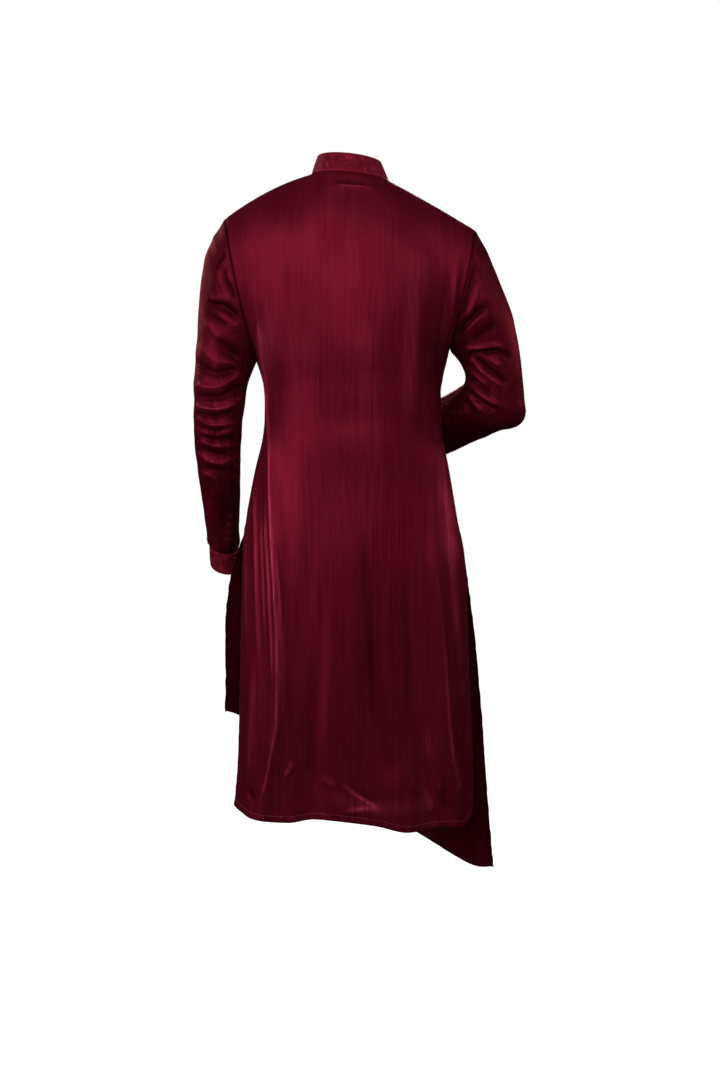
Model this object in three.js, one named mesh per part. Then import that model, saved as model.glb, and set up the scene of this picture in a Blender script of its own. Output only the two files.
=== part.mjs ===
// Asymmetric kurta in its worn shape, hollow and without a wearer.
// Millimetres, +Z up. The front faces -Y and the wearer's left is towards +X.
// The origin lies between the shoulders at the base of the neck, where the wearer carries the garment.
//
// Each cut piece is a wall of cloth: a grid of points on its outer face, given a thickness inwards.
// The two panels meet in one upright plane at the shoulder seams and at the side seams, and hang free of
// each other below the tops of the side slits.

import * as THREE from 'three';

// ---------------------------------------------------------------- driving dimensions

const CLOTH = 1.6;            // satin with its seam allowances, as one wall
const BAND = 2.0;             // collar and cuffs, two layers and a stiffener
const SEAM_GAP = 0.3;         // between neighbouring pieces
const SEAM_Y = -8;            // the upright plane of the shoulder and side seams

const SLIT_TOP = -620;        // height at which both side seams end

const NECK_COLUMNS = 5;       // of a panel, from its middle to the neck point
const SHOULDER_COLUMNS = 7;   // of a panel, from the neck point to its edge
const YOKE_ROWS = 8;          // of a panel, from the shoulder seam to the underarm
const SIDE_ROWS = 6;          // of a panel, from the underarm to the top of the slit
const SKIRT_ROWS = 9;         // of a panel, from the top of the slit to the hem
const SLEEVE_COLUMNS = 2 * YOKE_ROWS;   // round a sleeve: its points meet those of the panels
const SLEEVE_ROWS = 20;       // along a sleeve
const COLLAR_COLUMNS = 40;    // round the collar
const CUFF_COLUMNS = 22;      // round a cuff

// Neck seam: an oval, lower on the wearer's right and much lower in front.
const NECK = {
  x: 3, halfWidth: 68, back: 66, front: 72,
  leftZ: 6, rightZ: -6, backRise: 2, frontDrop: 78,
};
const NECK_SHARE = 3 / 11;    // share of a panel's half width that the neck takes

// Collar band above the neck seam.
const COLLAR = {
  lift: 33, frontLift: 30, halfWidth: 56, back: 55, front: 62, x: 5, y: -4,
  frontGap: 4.5, rows: 3, cornerRadius: 16, cornerCut: 0.8, seam: 0.6,
};

// Armholes: the shoulder tip, the underarm point, and how far the loop reaches back and forward.
const ARMHOLE = {
  left: { tipX: 223, tipZ: -71, underZ: -329, back: 80, front: 70, shoulderArch: 9 },
  right: { tipX: -216, tipZ: -92, underZ: -306, back: 74, front: 68, shoulderArch: 2 },
};
const ARMHOLE_SLANT = 1.25;   // above 1 keeps the upper part of the armhole upright
const ARMHOLE_GAP = 1.15;     // room for the wall ends of the sleeve, which leaves at an angle
const EDGE_SLANT = 3;         // how closely a panel's slant keeps to its armhole edge
const EDGE_DEPTH = 4;         // how closely its depth keeps to that edge
const FOLD_FADE = 1 / 8;      // share of a panel's half width over which its folds fade at the edge

// Back panel, a row for each level: half width on the wearer's left and right, depth behind the seam plane,
// how far its free edges stand behind that plane, and squareness (2 is an ellipse).
const BACK = [
  { z: -250, left: 186, right: 184, depth: 126, edge: 0, square: 2.3 },
  { z: -310, left: 175, right: 172, depth: 125, edge: 0, square: 2.3 },
  { z: -385, left: 154, right: 158, depth: 115, edge: 0, square: 2.3 },
  { z: -450, left: 156, right: 159, depth: 107, edge: 0, square: 2.3 },
  { z: -525, left: 173, right: 173, depth: 108, edge: 0, square: 2.4 },
  { z: -620, left: 189, right: 190, depth: 119, edge: 0, square: 2.4 },
  { z: -690, left: 193, right: 201, depth: 124, edge: 4, square: 2.5 },
  { z: -830, left: 196, right: 204, depth: 128, edge: 12, square: 2.6 },
  { z: -950, left: 198, right: 209, depth: 131, edge: 20, square: 2.6 },
  { z: -1060, left: 202, right: 212, depth: 133, edge: 26, square: 2.6 },
  { z: -1150, left: 212, right: 209, depth: 135, edge: 30, square: 2.6 },
];

// Front panel, the same columns, with its depth and edges measured forward.
const FRONT = [
  { z: -250, left: 186, right: 184, depth: 110, edge: 0, square: 2.3 },
  { z: -310, left: 175, right: 172, depth: 108, edge: 0, square: 2.3 },
  { z: -385, left: 154, right: 158, depth: 97, edge: 0, square: 2.3 },
  { z: -450, left: 156, right: 159, depth: 91, edge: 0, square: 2.3 },
  { z: -525, left: 173, right: 173, depth: 92, edge: 0, square: 2.4 },
  { z: -620, left: 189, right: 190, depth: 97, edge: 0, square: 2.4 },
  { z: -690, left: 213, right: 202, depth: 100, edge: 4, square: 2.4 },
  { z: -790, left: 225, right: 215, depth: 103, edge: 12, square: 2.5 },
  { z: -880, left: 225, right: 224, depth: 106, edge: 18, square: 2.5 },
  { z: -970, left: 228, right: 232, depth: 109, edge: 23, square: 2.5 },
  { z: -1100, left: 232, right: 241, depth: 113, edge: 30, square: 2.5 },
  { z: -1235, left: 236, right: 253, depth: 117, edge: 36, square: 2.5 },
];

// Hems, a row for each turn of the edge, from the wearer's right to the wearer's left.
const BACK_HEM = [
  { x: -210, z: -1126 }, { x: -190, z: -1140 }, { x: -150, z: -1138 }, { x: -95, z: -1146 },
  { x: -40, z: -1134 }, { x: 20, z: -1126 }, { x: 65, z: -1123 }, { x: 110, z: -1129 },
  { x: 175, z: -1124 }, { x: 200, z: -1112 }, { x: 212, z: -1106 },
];
const FRONT_HEM = [
  { x: -254, z: -1222 }, { x: -222, z: -1232 }, { x: -186, z: -1219 }, { x: -60, z: -1138 },
  { x: 60, z: -1058 }, { x: 150, z: -1000 }, { x: 208, z: -958 }, { x: 230, z: -948 },
];

// Largest folds of the panels, each a soft ridge (height above 0) or hollow (below 0) that runs down the
// cloth: a row for each point of its line, with its half width and height there.
const BACK_FOLDS = [
  [ // long ridge beside the wearer's left side seam
    { z: -240, x: 168, width: 14, height: 0 }, { z: -400, x: 146, width: 12, height: 4 },
    { z: -520, x: 142, width: 13, height: 7 }, { z: -700, x: 136, width: 15, height: 9 },
    { z: -880, x: 128, width: 17, height: 10 }, { z: -1050, x: 145, width: 20, height: 9 },
    { z: -1160, x: 168, width: 22, height: 9 },
  ],
  [ // ridge beside the wearer's right slit
    { z: -560, x: -132, width: 14, height: 0 }, { z: -680, x: -145, width: 15, height: 6 },
    { z: -860, x: -161, width: 16, height: 9 }, { z: -1060, x: -180, width: 15, height: 7 },
    { z: -1160, x: -186, width: 15, height: 6 },
  ],
  [ // hollow under the wearer's right arm
    { z: -170, x: -150, width: 26, height: 0 }, { z: -300, x: -142, width: 24, height: -9 },
    { z: -420, x: -134, width: 22, height: -5 }, { z: -500, x: -132, width: 20, height: 0 },
  ],
  [ // broad hollow right of the middle of the skirt
    { z: -640, x: -24, width: 26, height: 0 }, { z: -860, x: -36, width: 28, height: -7 },
    { z: -1040, x: -62, width: 32, height: -10 }, { z: -1160, x: -70, width: 34, height: -8 },
  ],
  [ // second hollow, left of the middle of the skirt
    { z: -700, x: 66, width: 24, height: 0 }, { z: -900, x: 68, width: 24, height: -6 },
    { z: -1160, x: 72, width: 30, height: -9 },
  ],
];
const FRONT_FOLDS = [
  [ // fold that swings from the left hip towards the long corner
    { z: -600, x: 70, width: 22, height: 0 }, { z: -800, x: 40, width: 26, height: 9 },
    { z: -1000, x: -10, width: 32, height: 13 }, { z: -1150, x: -60, width: 36, height: 14 },
  ],
  [ // fold down the wearer's right
    { z: -560, x: -110, width: 20, height: 0 }, { z: -760, x: -122, width: 24, height: 9 },
    { z: -980, x: -134, width: 28, height: 12 }, { z: -1240, x: -150, width: 30, height: 14 },
  ],
  [ // short fold above the wearer's left corner
    { z: -600, x: 140, width: 18, height: 0 }, { z: -780, x: 150, width: 22, height: 8 },
    { z: -1000, x: 160, width: 26, height: 10 },
  ],
];

// Sleeves, a row for each ring below the armhole: its outer point, its inner point and half its depth.
const SLEEVE_LEFT = [
  { outX: 246, outY: -9, outZ: -104, inX: 174, inY: -9, inZ: -337, half: 78 },
  { outX: 259, outY: -9, outZ: -143, inX: 178, inY: -9, inZ: -347, half: 73 },
  { outX: 267, outY: -8, outZ: -195, inX: 182, inY: -8, inZ: -358, half: 68 },
  { outX: 273, outY: -6, outZ: -255, inX: 186, inY: -5, inZ: -374, half: 63 },
  { outX: 277, outY: -3, outZ: -315, inX: 189, inY: -1, inZ: -396, half: 60 },
  { outX: 280, outY: 0, outZ: -370, inX: 193, inY: 2, inZ: -424, half: 57 },
  { outX: 280, outY: 0, outZ: -420, inX: 196, inY: 0, inZ: -455, half: 55 },
  { outX: 279, outY: -6, outZ: -465, inX: 198, inY: -8, inZ: -490, half: 53 },
  { outX: 275, outY: -18, outZ: -510, inX: 199, inY: -20, inZ: -527, half: 51 },
  { outX: 270, outY: -33, outZ: -555, inX: 200, inY: -36, inZ: -566, half: 48 },
  { outX: 264, outY: -50, outZ: -600, inX: 202, inY: -53, inZ: -607, half: 45 },
  { outX: 257, outY: -68, outZ: -648, inX: 205, inY: -71, inZ: -656, half: 41 },
];
const SLEEVE_RIGHT = [
  { outX: -238, outY: -9, outZ: -128, inX: -178, inY: -9, inZ: -311, half: 74 },
  { outX: -256, outY: -9, outZ: -170, inX: -183, inY: -9, inZ: -316, half: 70 },
  { outX: -274, outY: -9, outZ: -216, inX: -188, inY: -9, inZ: -322, half: 66 },
  { outX: -288, outY: -9, outZ: -262, inX: -193, inY: -11, inZ: -329, half: 62 },
  { outX: -297, outY: -9, outZ: -310, inX: -197, inY: -13, inZ: -337, half: 59 },
  { outX: -303, outY: -7, outZ: -355, inX: -200, inY: -17, inZ: -345, half: 57 },
  { outX: -305, outY: -3, outZ: -392, inX: -202, inY: -23, inZ: -353, half: 56 },
  { outX: -304, outY: 3, outZ: -421, inX: -203, inY: -32, inZ: -360, half: 55 },
  { outX: -293, outY: 1, outZ: -441, inX: -199, inY: -44, inZ: -364, half: 53 },
  { outX: -266, outY: -20, outZ: -446, inX: -189, inY: -60, inZ: -370, half: 51 },
  { outX: -237, outY: -48, outZ: -458, inX: -174, inY: -78, inZ: -378, half: 48 },
  { outX: -204, outY: -84, outZ: -472, inX: -154, inY: -104, inZ: -388, half: 46 },
  { outX: -170, outY: -120, outZ: -486, inX: -131, inY: -137, inZ: -402, half: 44 },
  { outX: -135, outY: -160, outZ: -500, inX: -105, inY: -170, inZ: -418, half: 42 },
  { outX: -112, outY: -187, outZ: -508, inX: -86, inY: -195, inZ: -431, half: 40 },
];

// overlap and rampStart are in radians; the cuff's run is taken from runBack of a ring further up.
const CUFF = {
  height: 39, seam: 0.5, taper: 0.98, runBack: 0.4, overlap: 0.35, overlapGap: 0.5, rampStart: 4.9,
};
const VENT = { angle: 135, gap: 3, rows: 1 };   // degrees round from the outer side towards the back

const PLACKET = { reach: 0.86, lift: 0.4, rows: YOKE_ROWS + 3 };   // reach is a share of one column
const PLACKET_BUTTONS = { count: 5, topZ: -100, pitch: 78, radius: 5.5 };
const CUFF_BUTTONS = { radius: 4.2, places: { upper: 0.28, lower: 0.74 } };   // shares of the cuff's height
const BUTTON = {
  height: 2.4, back: 0.8, waist: 0.4, top: 0.92, rim: 0.8, rimWidth: 1.6, sides: 12, seat: 0.5,
};

// ---------------------------------------------------------------- materials

const satin = (name) => new THREE.MeshStandardMaterial({
  name, color: 0x6a1428, roughness: 0.42, metalness: 0.0,
});
const band = (name) => new THREE.MeshStandardMaterial({
  name, color: 0x6e0f22, roughness: 0.7, metalness: 0.0,
});
const buttonStuff = (name) => new THREE.MeshStandardMaterial({
  name, color: 0x2c070d, roughness: 0.35, metalness: 0.0,
});

// ---------------------------------------------------------------- curves through short tables

// Value of one column of a table at place `at` along the column `by`: a smooth curve through the rows.
function along(table, column, by, at) {
  const rising = table[table.length - 1][by] > table[0][by];
  const order = rising ? table : [...table].reverse();
  const last = order.length - 1;
  if (at <= order[0][by]) return order[0][column];
  if (at >= order[last][by]) return order[last][column];
  let i = 0;
  while (order[i + 1][by] < at) i += 1;
  const rate = (a, b) => (b[column] - a[column]) / (b[by] - a[by]);
  const slope = (k) => {
    if (k === 0 || k === last) return rate(order[Math.max(k - 1, 0)], order[Math.min(k + 1, last)]);
    const [before, after] = [rate(order[k - 1], order[k]), rate(order[k], order[k + 1])];
    if (before * after <= 0) return 0;
    return rate(order[k - 1], order[k + 1]);
  };
  const span = order[i + 1][by] - order[i][by];
  const t = (at - order[i][by]) / span;
  const h = t * t * (3 - 2 * t);
  return order[i][column] * (1 - h) + order[i + 1][column] * h
    + slope(i) * span * t * (1 - t) * (1 - t) - slope(i + 1) * span * t * t * (1 - t);
}

const numbered = (table) => table.map((row, index) => ({ ...row, index }));
const mix = (a, b, t) => a + (b - a) * t;
const quarter = Math.PI / 2;

// Sum of the folds at a point of a panel.
function foldHeight(folds, x, z) {
  let sum = 0;
  for (const fold of folds) {
    const height = along(fold, 'height', 'z', z);
    if (z > fold[0].z) continue;
    const off = (x - along(fold, 'x', 'z', z)) / along(fold, 'width', 'z', z);
    sum += height * Math.exp(-off * off);
  }
  return sum;
}

// ---------------------------------------------------------------- neck, shoulders, armholes

// Neck seam. The angle is 0 at the nape, a quarter turn at the wearer's left, a half turn in front.
function neckSeam(angle) {
  const across = Math.sin(angle);
  const rearward = Math.cos(angle);
  const depth = rearward >= 0 ? NECK.back : NECK.front;
  const level = mix(NECK.rightZ, NECK.leftZ, (1 + across) / 2);
  const rise = rearward >= 0 ? NECK.backRise * rearward : -NECK.frontDrop * Math.abs(rearward) ** 1.5;
  return new THREE.Vector3(NECK.x + NECK.halfWidth * across, SEAM_Y + depth * rearward, level + rise);
}

// Shoulder seam of one side, from the neck (0) to the tip (1).
function shoulderSeam(side, t) {
  const hole = ARMHOLE[side];
  const neck = neckSeam(side === 'left' ? quarter : -quarter);
  return new THREE.Vector3(
    mix(neck.x, hole.tipX, t), SEAM_Y,
    mix(neck.z, hole.tipZ, t) + hole.shoulderArch * 4 * t * (1 - t),
  );
}

// Armhole loop of one side. The angle is 0 at the shoulder tip, a quarter turn at the back, a half turn at
// the underarm.
function armholeLoop(side, angle) {
  const hole = ARMHOLE[side];
  const down = (1 - Math.cos(angle)) / 2;
  const rearward = Math.sin(angle);
  const underX = Math.sign(hole.tipX) * along(BACK, side, 'z', hole.underZ);
  return new THREE.Vector3(
    mix(hole.tipX, underX, down ** ARMHOLE_SLANT),
    SEAM_Y + (rearward >= 0 ? hole.back : hole.front) * rearward,
    mix(hole.tipZ, hole.underZ, down),
  );
}

// ---------------------------------------------------------------- panels

// Point of a panel. share runs from -1 at the wearer's right edge to 1 at the left edge, and drop from 0 at
// the shoulder seam to 1 at the underarm, 2 at the top of the slits and 3 at the hem. facing is 1 for the
// back and -1 for the front.
function panelPoint(panel, share, drop) {
  const { sections, hem, folds, facing } = panel;
  const side = share >= 0 ? 'left' : 'right';
  const out = Math.abs(share);

  const sectionPoint = (z) => {
    const width = along(sections, side, 'z', z) * Math.sign(share || 1);
    const power = 2 / along(sections, 'square', 'z', z);
    const turn = quarter * out;
    const edge = along(sections, 'edge', 'z', z);
    const reach = edge + (along(sections, 'depth', 'z', z) - edge) * Math.cos(turn) ** power;
    const x = width * Math.sin(turn) ** power;
    const fade = Math.min(1, (1 - out) / FOLD_FADE);
    const depth = reach + fade * foldHeight(folds, x, z);
    return new THREE.Vector3(x, SEAM_Y + facing * (depth + SEAM_GAP / 2), z);
  };

  const underarm = mix(ARMHOLE.right.underZ, ARMHOLE.left.underZ, (1 + share) / 2);
  if (drop >= 2) {
    const hemX = sectionPoint(hem.level).x;
    return sectionPoint(mix(SLIT_TOP, along(hem.line, 'z', 'x', hemX), drop - 2));
  }
  if (drop >= 1) return sectionPoint(mix(underarm, SLIT_TOP, drop - 1));

  // Above the underarm the cloth rolls from the seam over the shoulder, and its edge follows the armhole.
  const low = sectionPoint(underarm);
  const inNeck = out <= NECK_SHARE;
  const aside = quarter * (share / NECK_SHARE);
  const neckAngle = facing > 0 ? aside : Math.PI - aside;
  const top = inNeck
    ? neckSeam(neckAngle)
    : shoulderSeam(side, (out - NECK_SHARE) / (1 - NECK_SHARE));
  top.y += facing * SEAM_GAP / 2;

  const edgeShare = out ** EDGE_SLANT;
  const roll = drop * quarter;
  const halfTurn = (1 - Math.cos(drop * Math.PI)) / 2;
  const hole = ARMHOLE[side];
  const holeDepth = facing > 0 ? hole.back : hole.front;
  const blade = mix(panel.spine, panel.blade, THREE.MathUtils.smoothstep(out, 0, 2 * NECK_SHARE));
  const fullness = mix(blade, holeDepth, out ** EDGE_DEPTH);
  const fall = mix(1 - Math.cos(roll), halfTurn, edgeShare);
  return new THREE.Vector3(
    mix(top.x, low.x, mix(halfTurn, halfTurn ** ARMHOLE_SLANT, edgeShare)),
    mix(top.y, low.y, Math.sin(roll)) + facing * fullness * Math.sin(drop * Math.PI),
    mix(top.z, low.z, fall),
  );
}

// spine and blade are the fullness in the middle and over the shoulder blades, or over the chest.
const PANELS = {
  back: {
    sections: BACK, hem: { line: BACK_HEM, level: -1130 }, folds: BACK_FOLDS,
    spine: 12, blade: 30, facing: 1,
  },
  front: {
    sections: FRONT, hem: { line: FRONT_HEM, level: -1100 }, folds: FRONT_FOLDS,
    spine: 8, blade: 26, facing: -1,
  },
};

const MIDDLE = NECK_COLUMNS + SHOULDER_COLUMNS;   // a panel's middle column
const SLIT_ROW = YOKE_ROWS + SIDE_ROWS;

// share of a panel's column: the neck takes its own number of columns
function columnShare(column) {
  const off = Math.abs(column - MIDDLE);
  const share = off <= NECK_COLUMNS
    ? NECK_SHARE * (off / NECK_COLUMNS)
    : mix(NECK_SHARE, 1, (off - NECK_COLUMNS) / SHOULDER_COLUMNS);
  return Math.sign(column - MIDDLE) * share;
}

function rowDrop(row) {
  if (row <= YOKE_ROWS) return row / YOKE_ROWS;
  if (row <= SLIT_ROW) return 1 + (row - YOKE_ROWS) / SIDE_ROWS;
  return 2 + (row - SLIT_ROW) / SKIRT_ROWS;
}

function panelGrid(panel) {
  const grid = [];
  for (let row = 0; row <= SLIT_ROW + SKIRT_ROWS; row += 1) {
    const line = [];
    for (let column = 0; column <= 2 * MIDDLE; column += 1) {
      line.push(panelPoint(panel, columnShare(column), rowDrop(row)));
    }
    grid.push(line);
  }
  return grid;
}

// ---------------------------------------------------------------- sleeves

// Ring of a sleeve at place t, from 0 at the armhole to the table's last row.
function sleeveRing(side, table, t) {
  const rows = numbered(table);
  const place = (row, part) => new THREE.Vector3(
    ...['X', 'Y', 'Z'].map((axis) => along(rows, part + axis, 'index', row)),
  );
  const outer = place(t, 'out');
  const inner = place(t, 'in');
  const centre = outer.clone().add(inner).multiplyScalar(0.5);
  const before = place(t - 0.5, 'out').add(place(t - 0.5, 'in'));
  const after = place(t + 0.5, 'out').add(place(t + 0.5, 'in'));
  const across = outer.clone().sub(inner).multiplyScalar(0.5);
  const depth = after.sub(before).cross(across).normalize();
  if (side === 'left') depth.negate();
  depth.multiplyScalar(along(rows, 'half', 'index', t));
  return { centre, across, depth };
}

const ringPoint = (ring, angle) => ring.centre.clone()
  .addScaledVector(ring.across, Math.cos(angle))
  .addScaledVector(ring.depth, Math.sin(angle));

const ventAngle = THREE.MathUtils.degToRad(VENT.angle);
const sleeveAngle = (column) => ventAngle + (2 * Math.PI * column) / SLEEVE_COLUMNS;

function sleeveGrid(side, table) {
  const outward = side === 'left' ? 1 : -1;
  const grid = [];
  for (let row = 0; row <= SLEEVE_ROWS; row += 1) {
    const t = mix(-1, table.length - 1, row / SLEEVE_ROWS);
    const line = [];
    for (let column = 0; column <= SLEEVE_COLUMNS; column += 1) {
      const angle = sleeveAngle(column);
      let point;
      if (row === 0) {
        point = armholeLoop(side, angle);
        point.x += outward * ARMHOLE_GAP;
      } else if (t < 0) {
        const ring = ringPoint(sleeveRing(side, table, 0), angle);
        point = armholeLoop(side, angle).lerp(ring, 1 + t);
      } else {
        point = ringPoint(sleeveRing(side, table, t), angle);
      }
      line.push(point);
    }
    // the vent: both edges of the grid part in the last rows
    const open = row - (SLEEVE_ROWS - VENT.rows);
    if (open > 0) {
      const reach = (VENT.gap / 2) * (open / VENT.rows);
      const aside = line[1].clone().sub(line[0]).normalize().multiplyScalar(reach);
      line[0].add(aside);
      line[SLEEVE_COLUMNS].sub(aside);
    }
    grid.push(line);
  }
  return grid;
}

// ---------------------------------------------------------------- cuffs and collar

// A cuff carries on from the last ring of its sleeve and laps over itself beside the vent.
function cuffGrid(side, table) {
  const last = sleeveRing(side, table, table.length - 1);
  const before = sleeveRing(side, table, table.length - 1 - CUFF.runBack);
  const run = last.centre.clone().sub(before.centre).normalize();
  const turn = 2 * Math.PI + CUFF.overlap;
  const lap = BAND + CUFF.overlapGap;
  const grid = [];
  for (const down of [0, 0.5, 1]) {
    const size = mix(1, CUFF.taper, down);
    const line = [];
    for (let column = 0; column <= CUFF_COLUMNS; column += 1) {
      const angle = turn * (column / CUFF_COLUMNS);
      const raise = lap * THREE.MathUtils.smoothstep(angle, CUFF.rampStart, 2 * Math.PI);
      const spoke = ringPoint({ ...last, centre: new THREE.Vector3() }, ventAngle - CUFF.overlap / 2 + angle);
      const reach = spoke.length();
      spoke.multiplyScalar((reach * size + raise) / reach);
      line.push(last.centre.clone().add(spoke).addScaledVector(run, CUFF.seam + CUFF.height * down));
    }
    grid.push(line);
  }
  return grid;
}

// The neck seam as the panels' facets have it.
function neckFacet(angle) {
  const step = quarter / NECK_COLUMNS;
  const place = Math.floor(angle / step);
  return neckSeam(place * step).lerp(neckSeam((place + 1) * step), angle / step - place);
}

// Collar band: its lower edge follows the neck seam, its upper edge a smaller oval.
function collarGrid() {
  const grid = [];
  const gap = COLLAR.frontGap / NECK.halfWidth;
  for (let row = 0; row <= COLLAR.rows; row += 1) {
    const up = 1 - row / COLLAR.rows;
    const line = [];
    for (let column = 0; column <= COLLAR_COLUMNS; column += 1) {
      const angle = mix(-Math.PI + gap, Math.PI - gap, column / COLLAR_COLUMNS);
      const foot = neckFacet(angle);
      const rearward = Math.cos(angle);
      const top = new THREE.Vector3(
        COLLAR.x + COLLAR.halfWidth * Math.sin(angle),
        COLLAR.y + (rearward >= 0 ? COLLAR.back : COLLAR.front) * rearward,
        foot.z + mix(COLLAR.frontLift, COLLAR.lift, (1 + rearward) / 2),
      );
      // the front corners are rounded off
      const toEnd = (Math.PI - gap - Math.abs(angle)) * NECK.halfWidth;
      const missing = Math.max(0, 1 - toEnd / COLLAR.cornerRadius);
      const sunk = 1 - Math.sqrt(1 - COLLAR.cornerCut * missing * missing);
      const height = 1 - sunk * (COLLAR.cornerRadius / COLLAR.lift);
      const point = foot.clone().lerp(top, up * height);
      point.z += COLLAR.seam;
      line.push(point);
    }
    grid.push(line);
  }
  return grid;
}

// ---------------------------------------------------------------- placket and buttons

// The placket lies on the middle columns of the front and is made from their points, moved out.
function placketGrid(front) {
  const grid = [];
  for (let row = 0; row <= PLACKET.rows; row += 1) {
    const line = [];
    for (const aside of [-1, 0, 1]) {
      const middle = front[row][MIDDLE];
      line.push(middle.clone().lerp(front[row][MIDDLE + aside], PLACKET.reach));
    }
    grid.push(line);
  }
  return grid.map((line, row) => line.map((point) => {
    const above = grid[Math.max(row - 1, 0)];
    const below = grid[Math.min(row + 1, PLACKET.rows)];
    const down = below[1].clone().sub(above[1]);
    const outward = down.cross(line[2].clone().sub(line[0])).normalize();
    return point.clone().addScaledVector(outward, PLACKET.lift + CLOTH);
  }));
}

// Place and direction of a button on the placket's middle line, at height z.
function onPlacket(placket, z) {
  let row = 0;
  while (placket[row + 1][1].z > z) row += 1;
  const [above, below] = [placket[row], placket[row + 1]];
  const t = (above[1].z - z) / (above[1].z - below[1].z);
  const down = below[1].clone().sub(above[1]);
  const direction = down.cross(above[2].clone().sub(above[0])).normalize();
  const place = above[1].clone().lerp(below[1], t).addScaledVector(direction, BUTTON.seat);
  return { place, direction };
}

// Place and direction of a button on the lapped end of a cuff, at a share of its height.
function onCuff(cuff, share) {
  const [first, last] = [cuff[0], cuff[cuff.length - 1]];
  const [start, end] = [CUFF_COLUMNS - 1, CUFF_COLUMNS];
  const centre = first[start].clone().add(first[end]).multiplyScalar(0.5)
    .lerp(last[start].clone().add(last[end]).multiplyScalar(0.5), share);
  const down = last[start].clone().sub(first[start]);
  const direction = down.cross(first[end].clone().sub(first[start])).normalize();
  const middle = first[0].clone().add(first[CUFF_COLUMNS / 2]).multiplyScalar(0.5);
  if (direction.dot(centre.clone().sub(middle)) < 0) direction.negate();
  return { place: centre.addScaledVector(direction, BUTTON.seat), direction };
}

// A round button with a raised rim, its back on the given point and its face along the given direction.
// BUTTON's back, waist and top are shares of its radius, of its height and of its radius.
function button(name, radius, { place, direction }) {
  const { height, back, waist, top, rim, rimWidth, sides } = BUTTON;
  const profile = [
    [0, 0], [radius * back, 0], [radius, height * waist], [radius * top, height],
    [radius - rimWidth, height - rim], [0, height - rim],
  ].map(([r, h]) => new THREE.Vector2(r, h));
  const geometry = new THREE.LatheGeometry(profile, sides);
  const mesh = new THREE.Mesh(geometry, buttonStuff(name));
  mesh.name = name;
  mesh.position.copy(place);
  mesh.quaternion.setFromUnitVectors(new THREE.Vector3(0, 1, 0), direction);
  return mesh;
}

// ---------------------------------------------------------------- walls of cloth

// Closed wall whose outer face is the grid. Points that coincide are one point, so a tube's first and last
// columns join where they meet. inside is a point on the hidden side. Along a seam the wall's end stays in
// the seam's plane: flatten says for which points.
function wall(name, grid, thickness, material, inside, flatten = () => false) {
  const points = [];
  const normals = [];
  const flat = [];
  const known = new Map();
  const ids = grid.map((line, row) => line.map((point, column) => {
    const key = [point.x, point.y, point.z].map((v) => Math.round(v * 500)).join();
    if (!known.has(key)) {
      known.set(key, points.length);
      points.push(point);
      normals.push(new THREE.Vector3());
      flat.push(flatten(row, column));
    }
    return known.get(key);
  }));

  let quads = [];
  for (let row = 0; row + 1 < ids.length; row += 1) {
    for (let column = 0; column + 1 < ids[row].length; column += 1) {
      quads.push([ids[row][column], ids[row + 1][column], ids[row + 1][column + 1], ids[row][column + 1]]);
    }
  }
  const faceOf = ([a, b, c, d]) => new THREE.Vector3().subVectors(points[c], points[a])
    .cross(new THREE.Vector3().subVectors(points[d], points[b]));
  let outward = 0;
  for (const quad of quads) {
    outward += faceOf(quad).dot(new THREE.Vector3().subVectors(points[quad[0]], inside));
  }
  if (outward < 0) quads = quads.map((quad) => [...quad].reverse());
  for (const quad of quads) {
    for (const id of quad) normals[id].add(faceOf(quad));
  }

  const count = points.length;
  const position = [];
  for (const point of points) position.push(point.x, point.y, point.z);
  points.forEach((point, id) => {
    if (flat[id]) normals[id].y = 0;
    const back = point.clone().addScaledVector(normals[id].normalize(), -thickness);
    position.push(back.x, back.y, back.z);
  });

  const index = [];
  const edges = new Map();
  for (const [a, b, c, d] of quads) {
    const acIsShort = points[a].distanceTo(points[c]) <= points[b].distanceTo(points[d]);
    const halves = acIsShort ? [[a, b, c], [a, c, d]] : [[a, b, d], [b, c, d]];
    for (const [p, q, r] of halves) index.push(p, q, r, p + count, r + count, q + count);
    for (const [p, q] of [[a, b], [b, c], [c, d], [d, a]]) edges.set(`${p} ${q}`, [p, q]);
  }
  for (const [p, q] of edges.values()) {
    if (edges.has(`${q} ${p}`)) continue;
    index.push(q, p, p + count, q, p + count, q + count);
  }

  const geometry = new THREE.BufferGeometry();
  geometry.setAttribute('position', new THREE.Float32BufferAttribute(position, 3));
  geometry.setIndex(index);
  geometry.computeVertexNormals();
  const mesh = new THREE.Mesh(geometry, material);
  mesh.name = name;
  return mesh;
}

// ---------------------------------------------------------------- the garment

const group = new THREE.Group();
const bodyMiddle = new THREE.Vector3(0, SEAM_Y, -500);

// A panel keeps its ends in the seam plane along the shoulders and the closed part of the side seams.
const isSeam = (row, column) => {
  const off = Math.abs(column - MIDDLE);
  const onShoulder = row === 0 && off >= NECK_COLUMNS;
  const onSide = off === MIDDLE && row >= YOKE_ROWS && row <= SLIT_ROW;
  return onShoulder || onSide;
};

const grids = { back: panelGrid(PANELS.back), front: panelGrid(PANELS.front) };
for (const [name, grid] of Object.entries(grids)) {
  group.add(wall(`${name}_panel`, grid, CLOTH, satin(`${name} satin`), bodyMiddle, isSeam));
}

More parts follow.
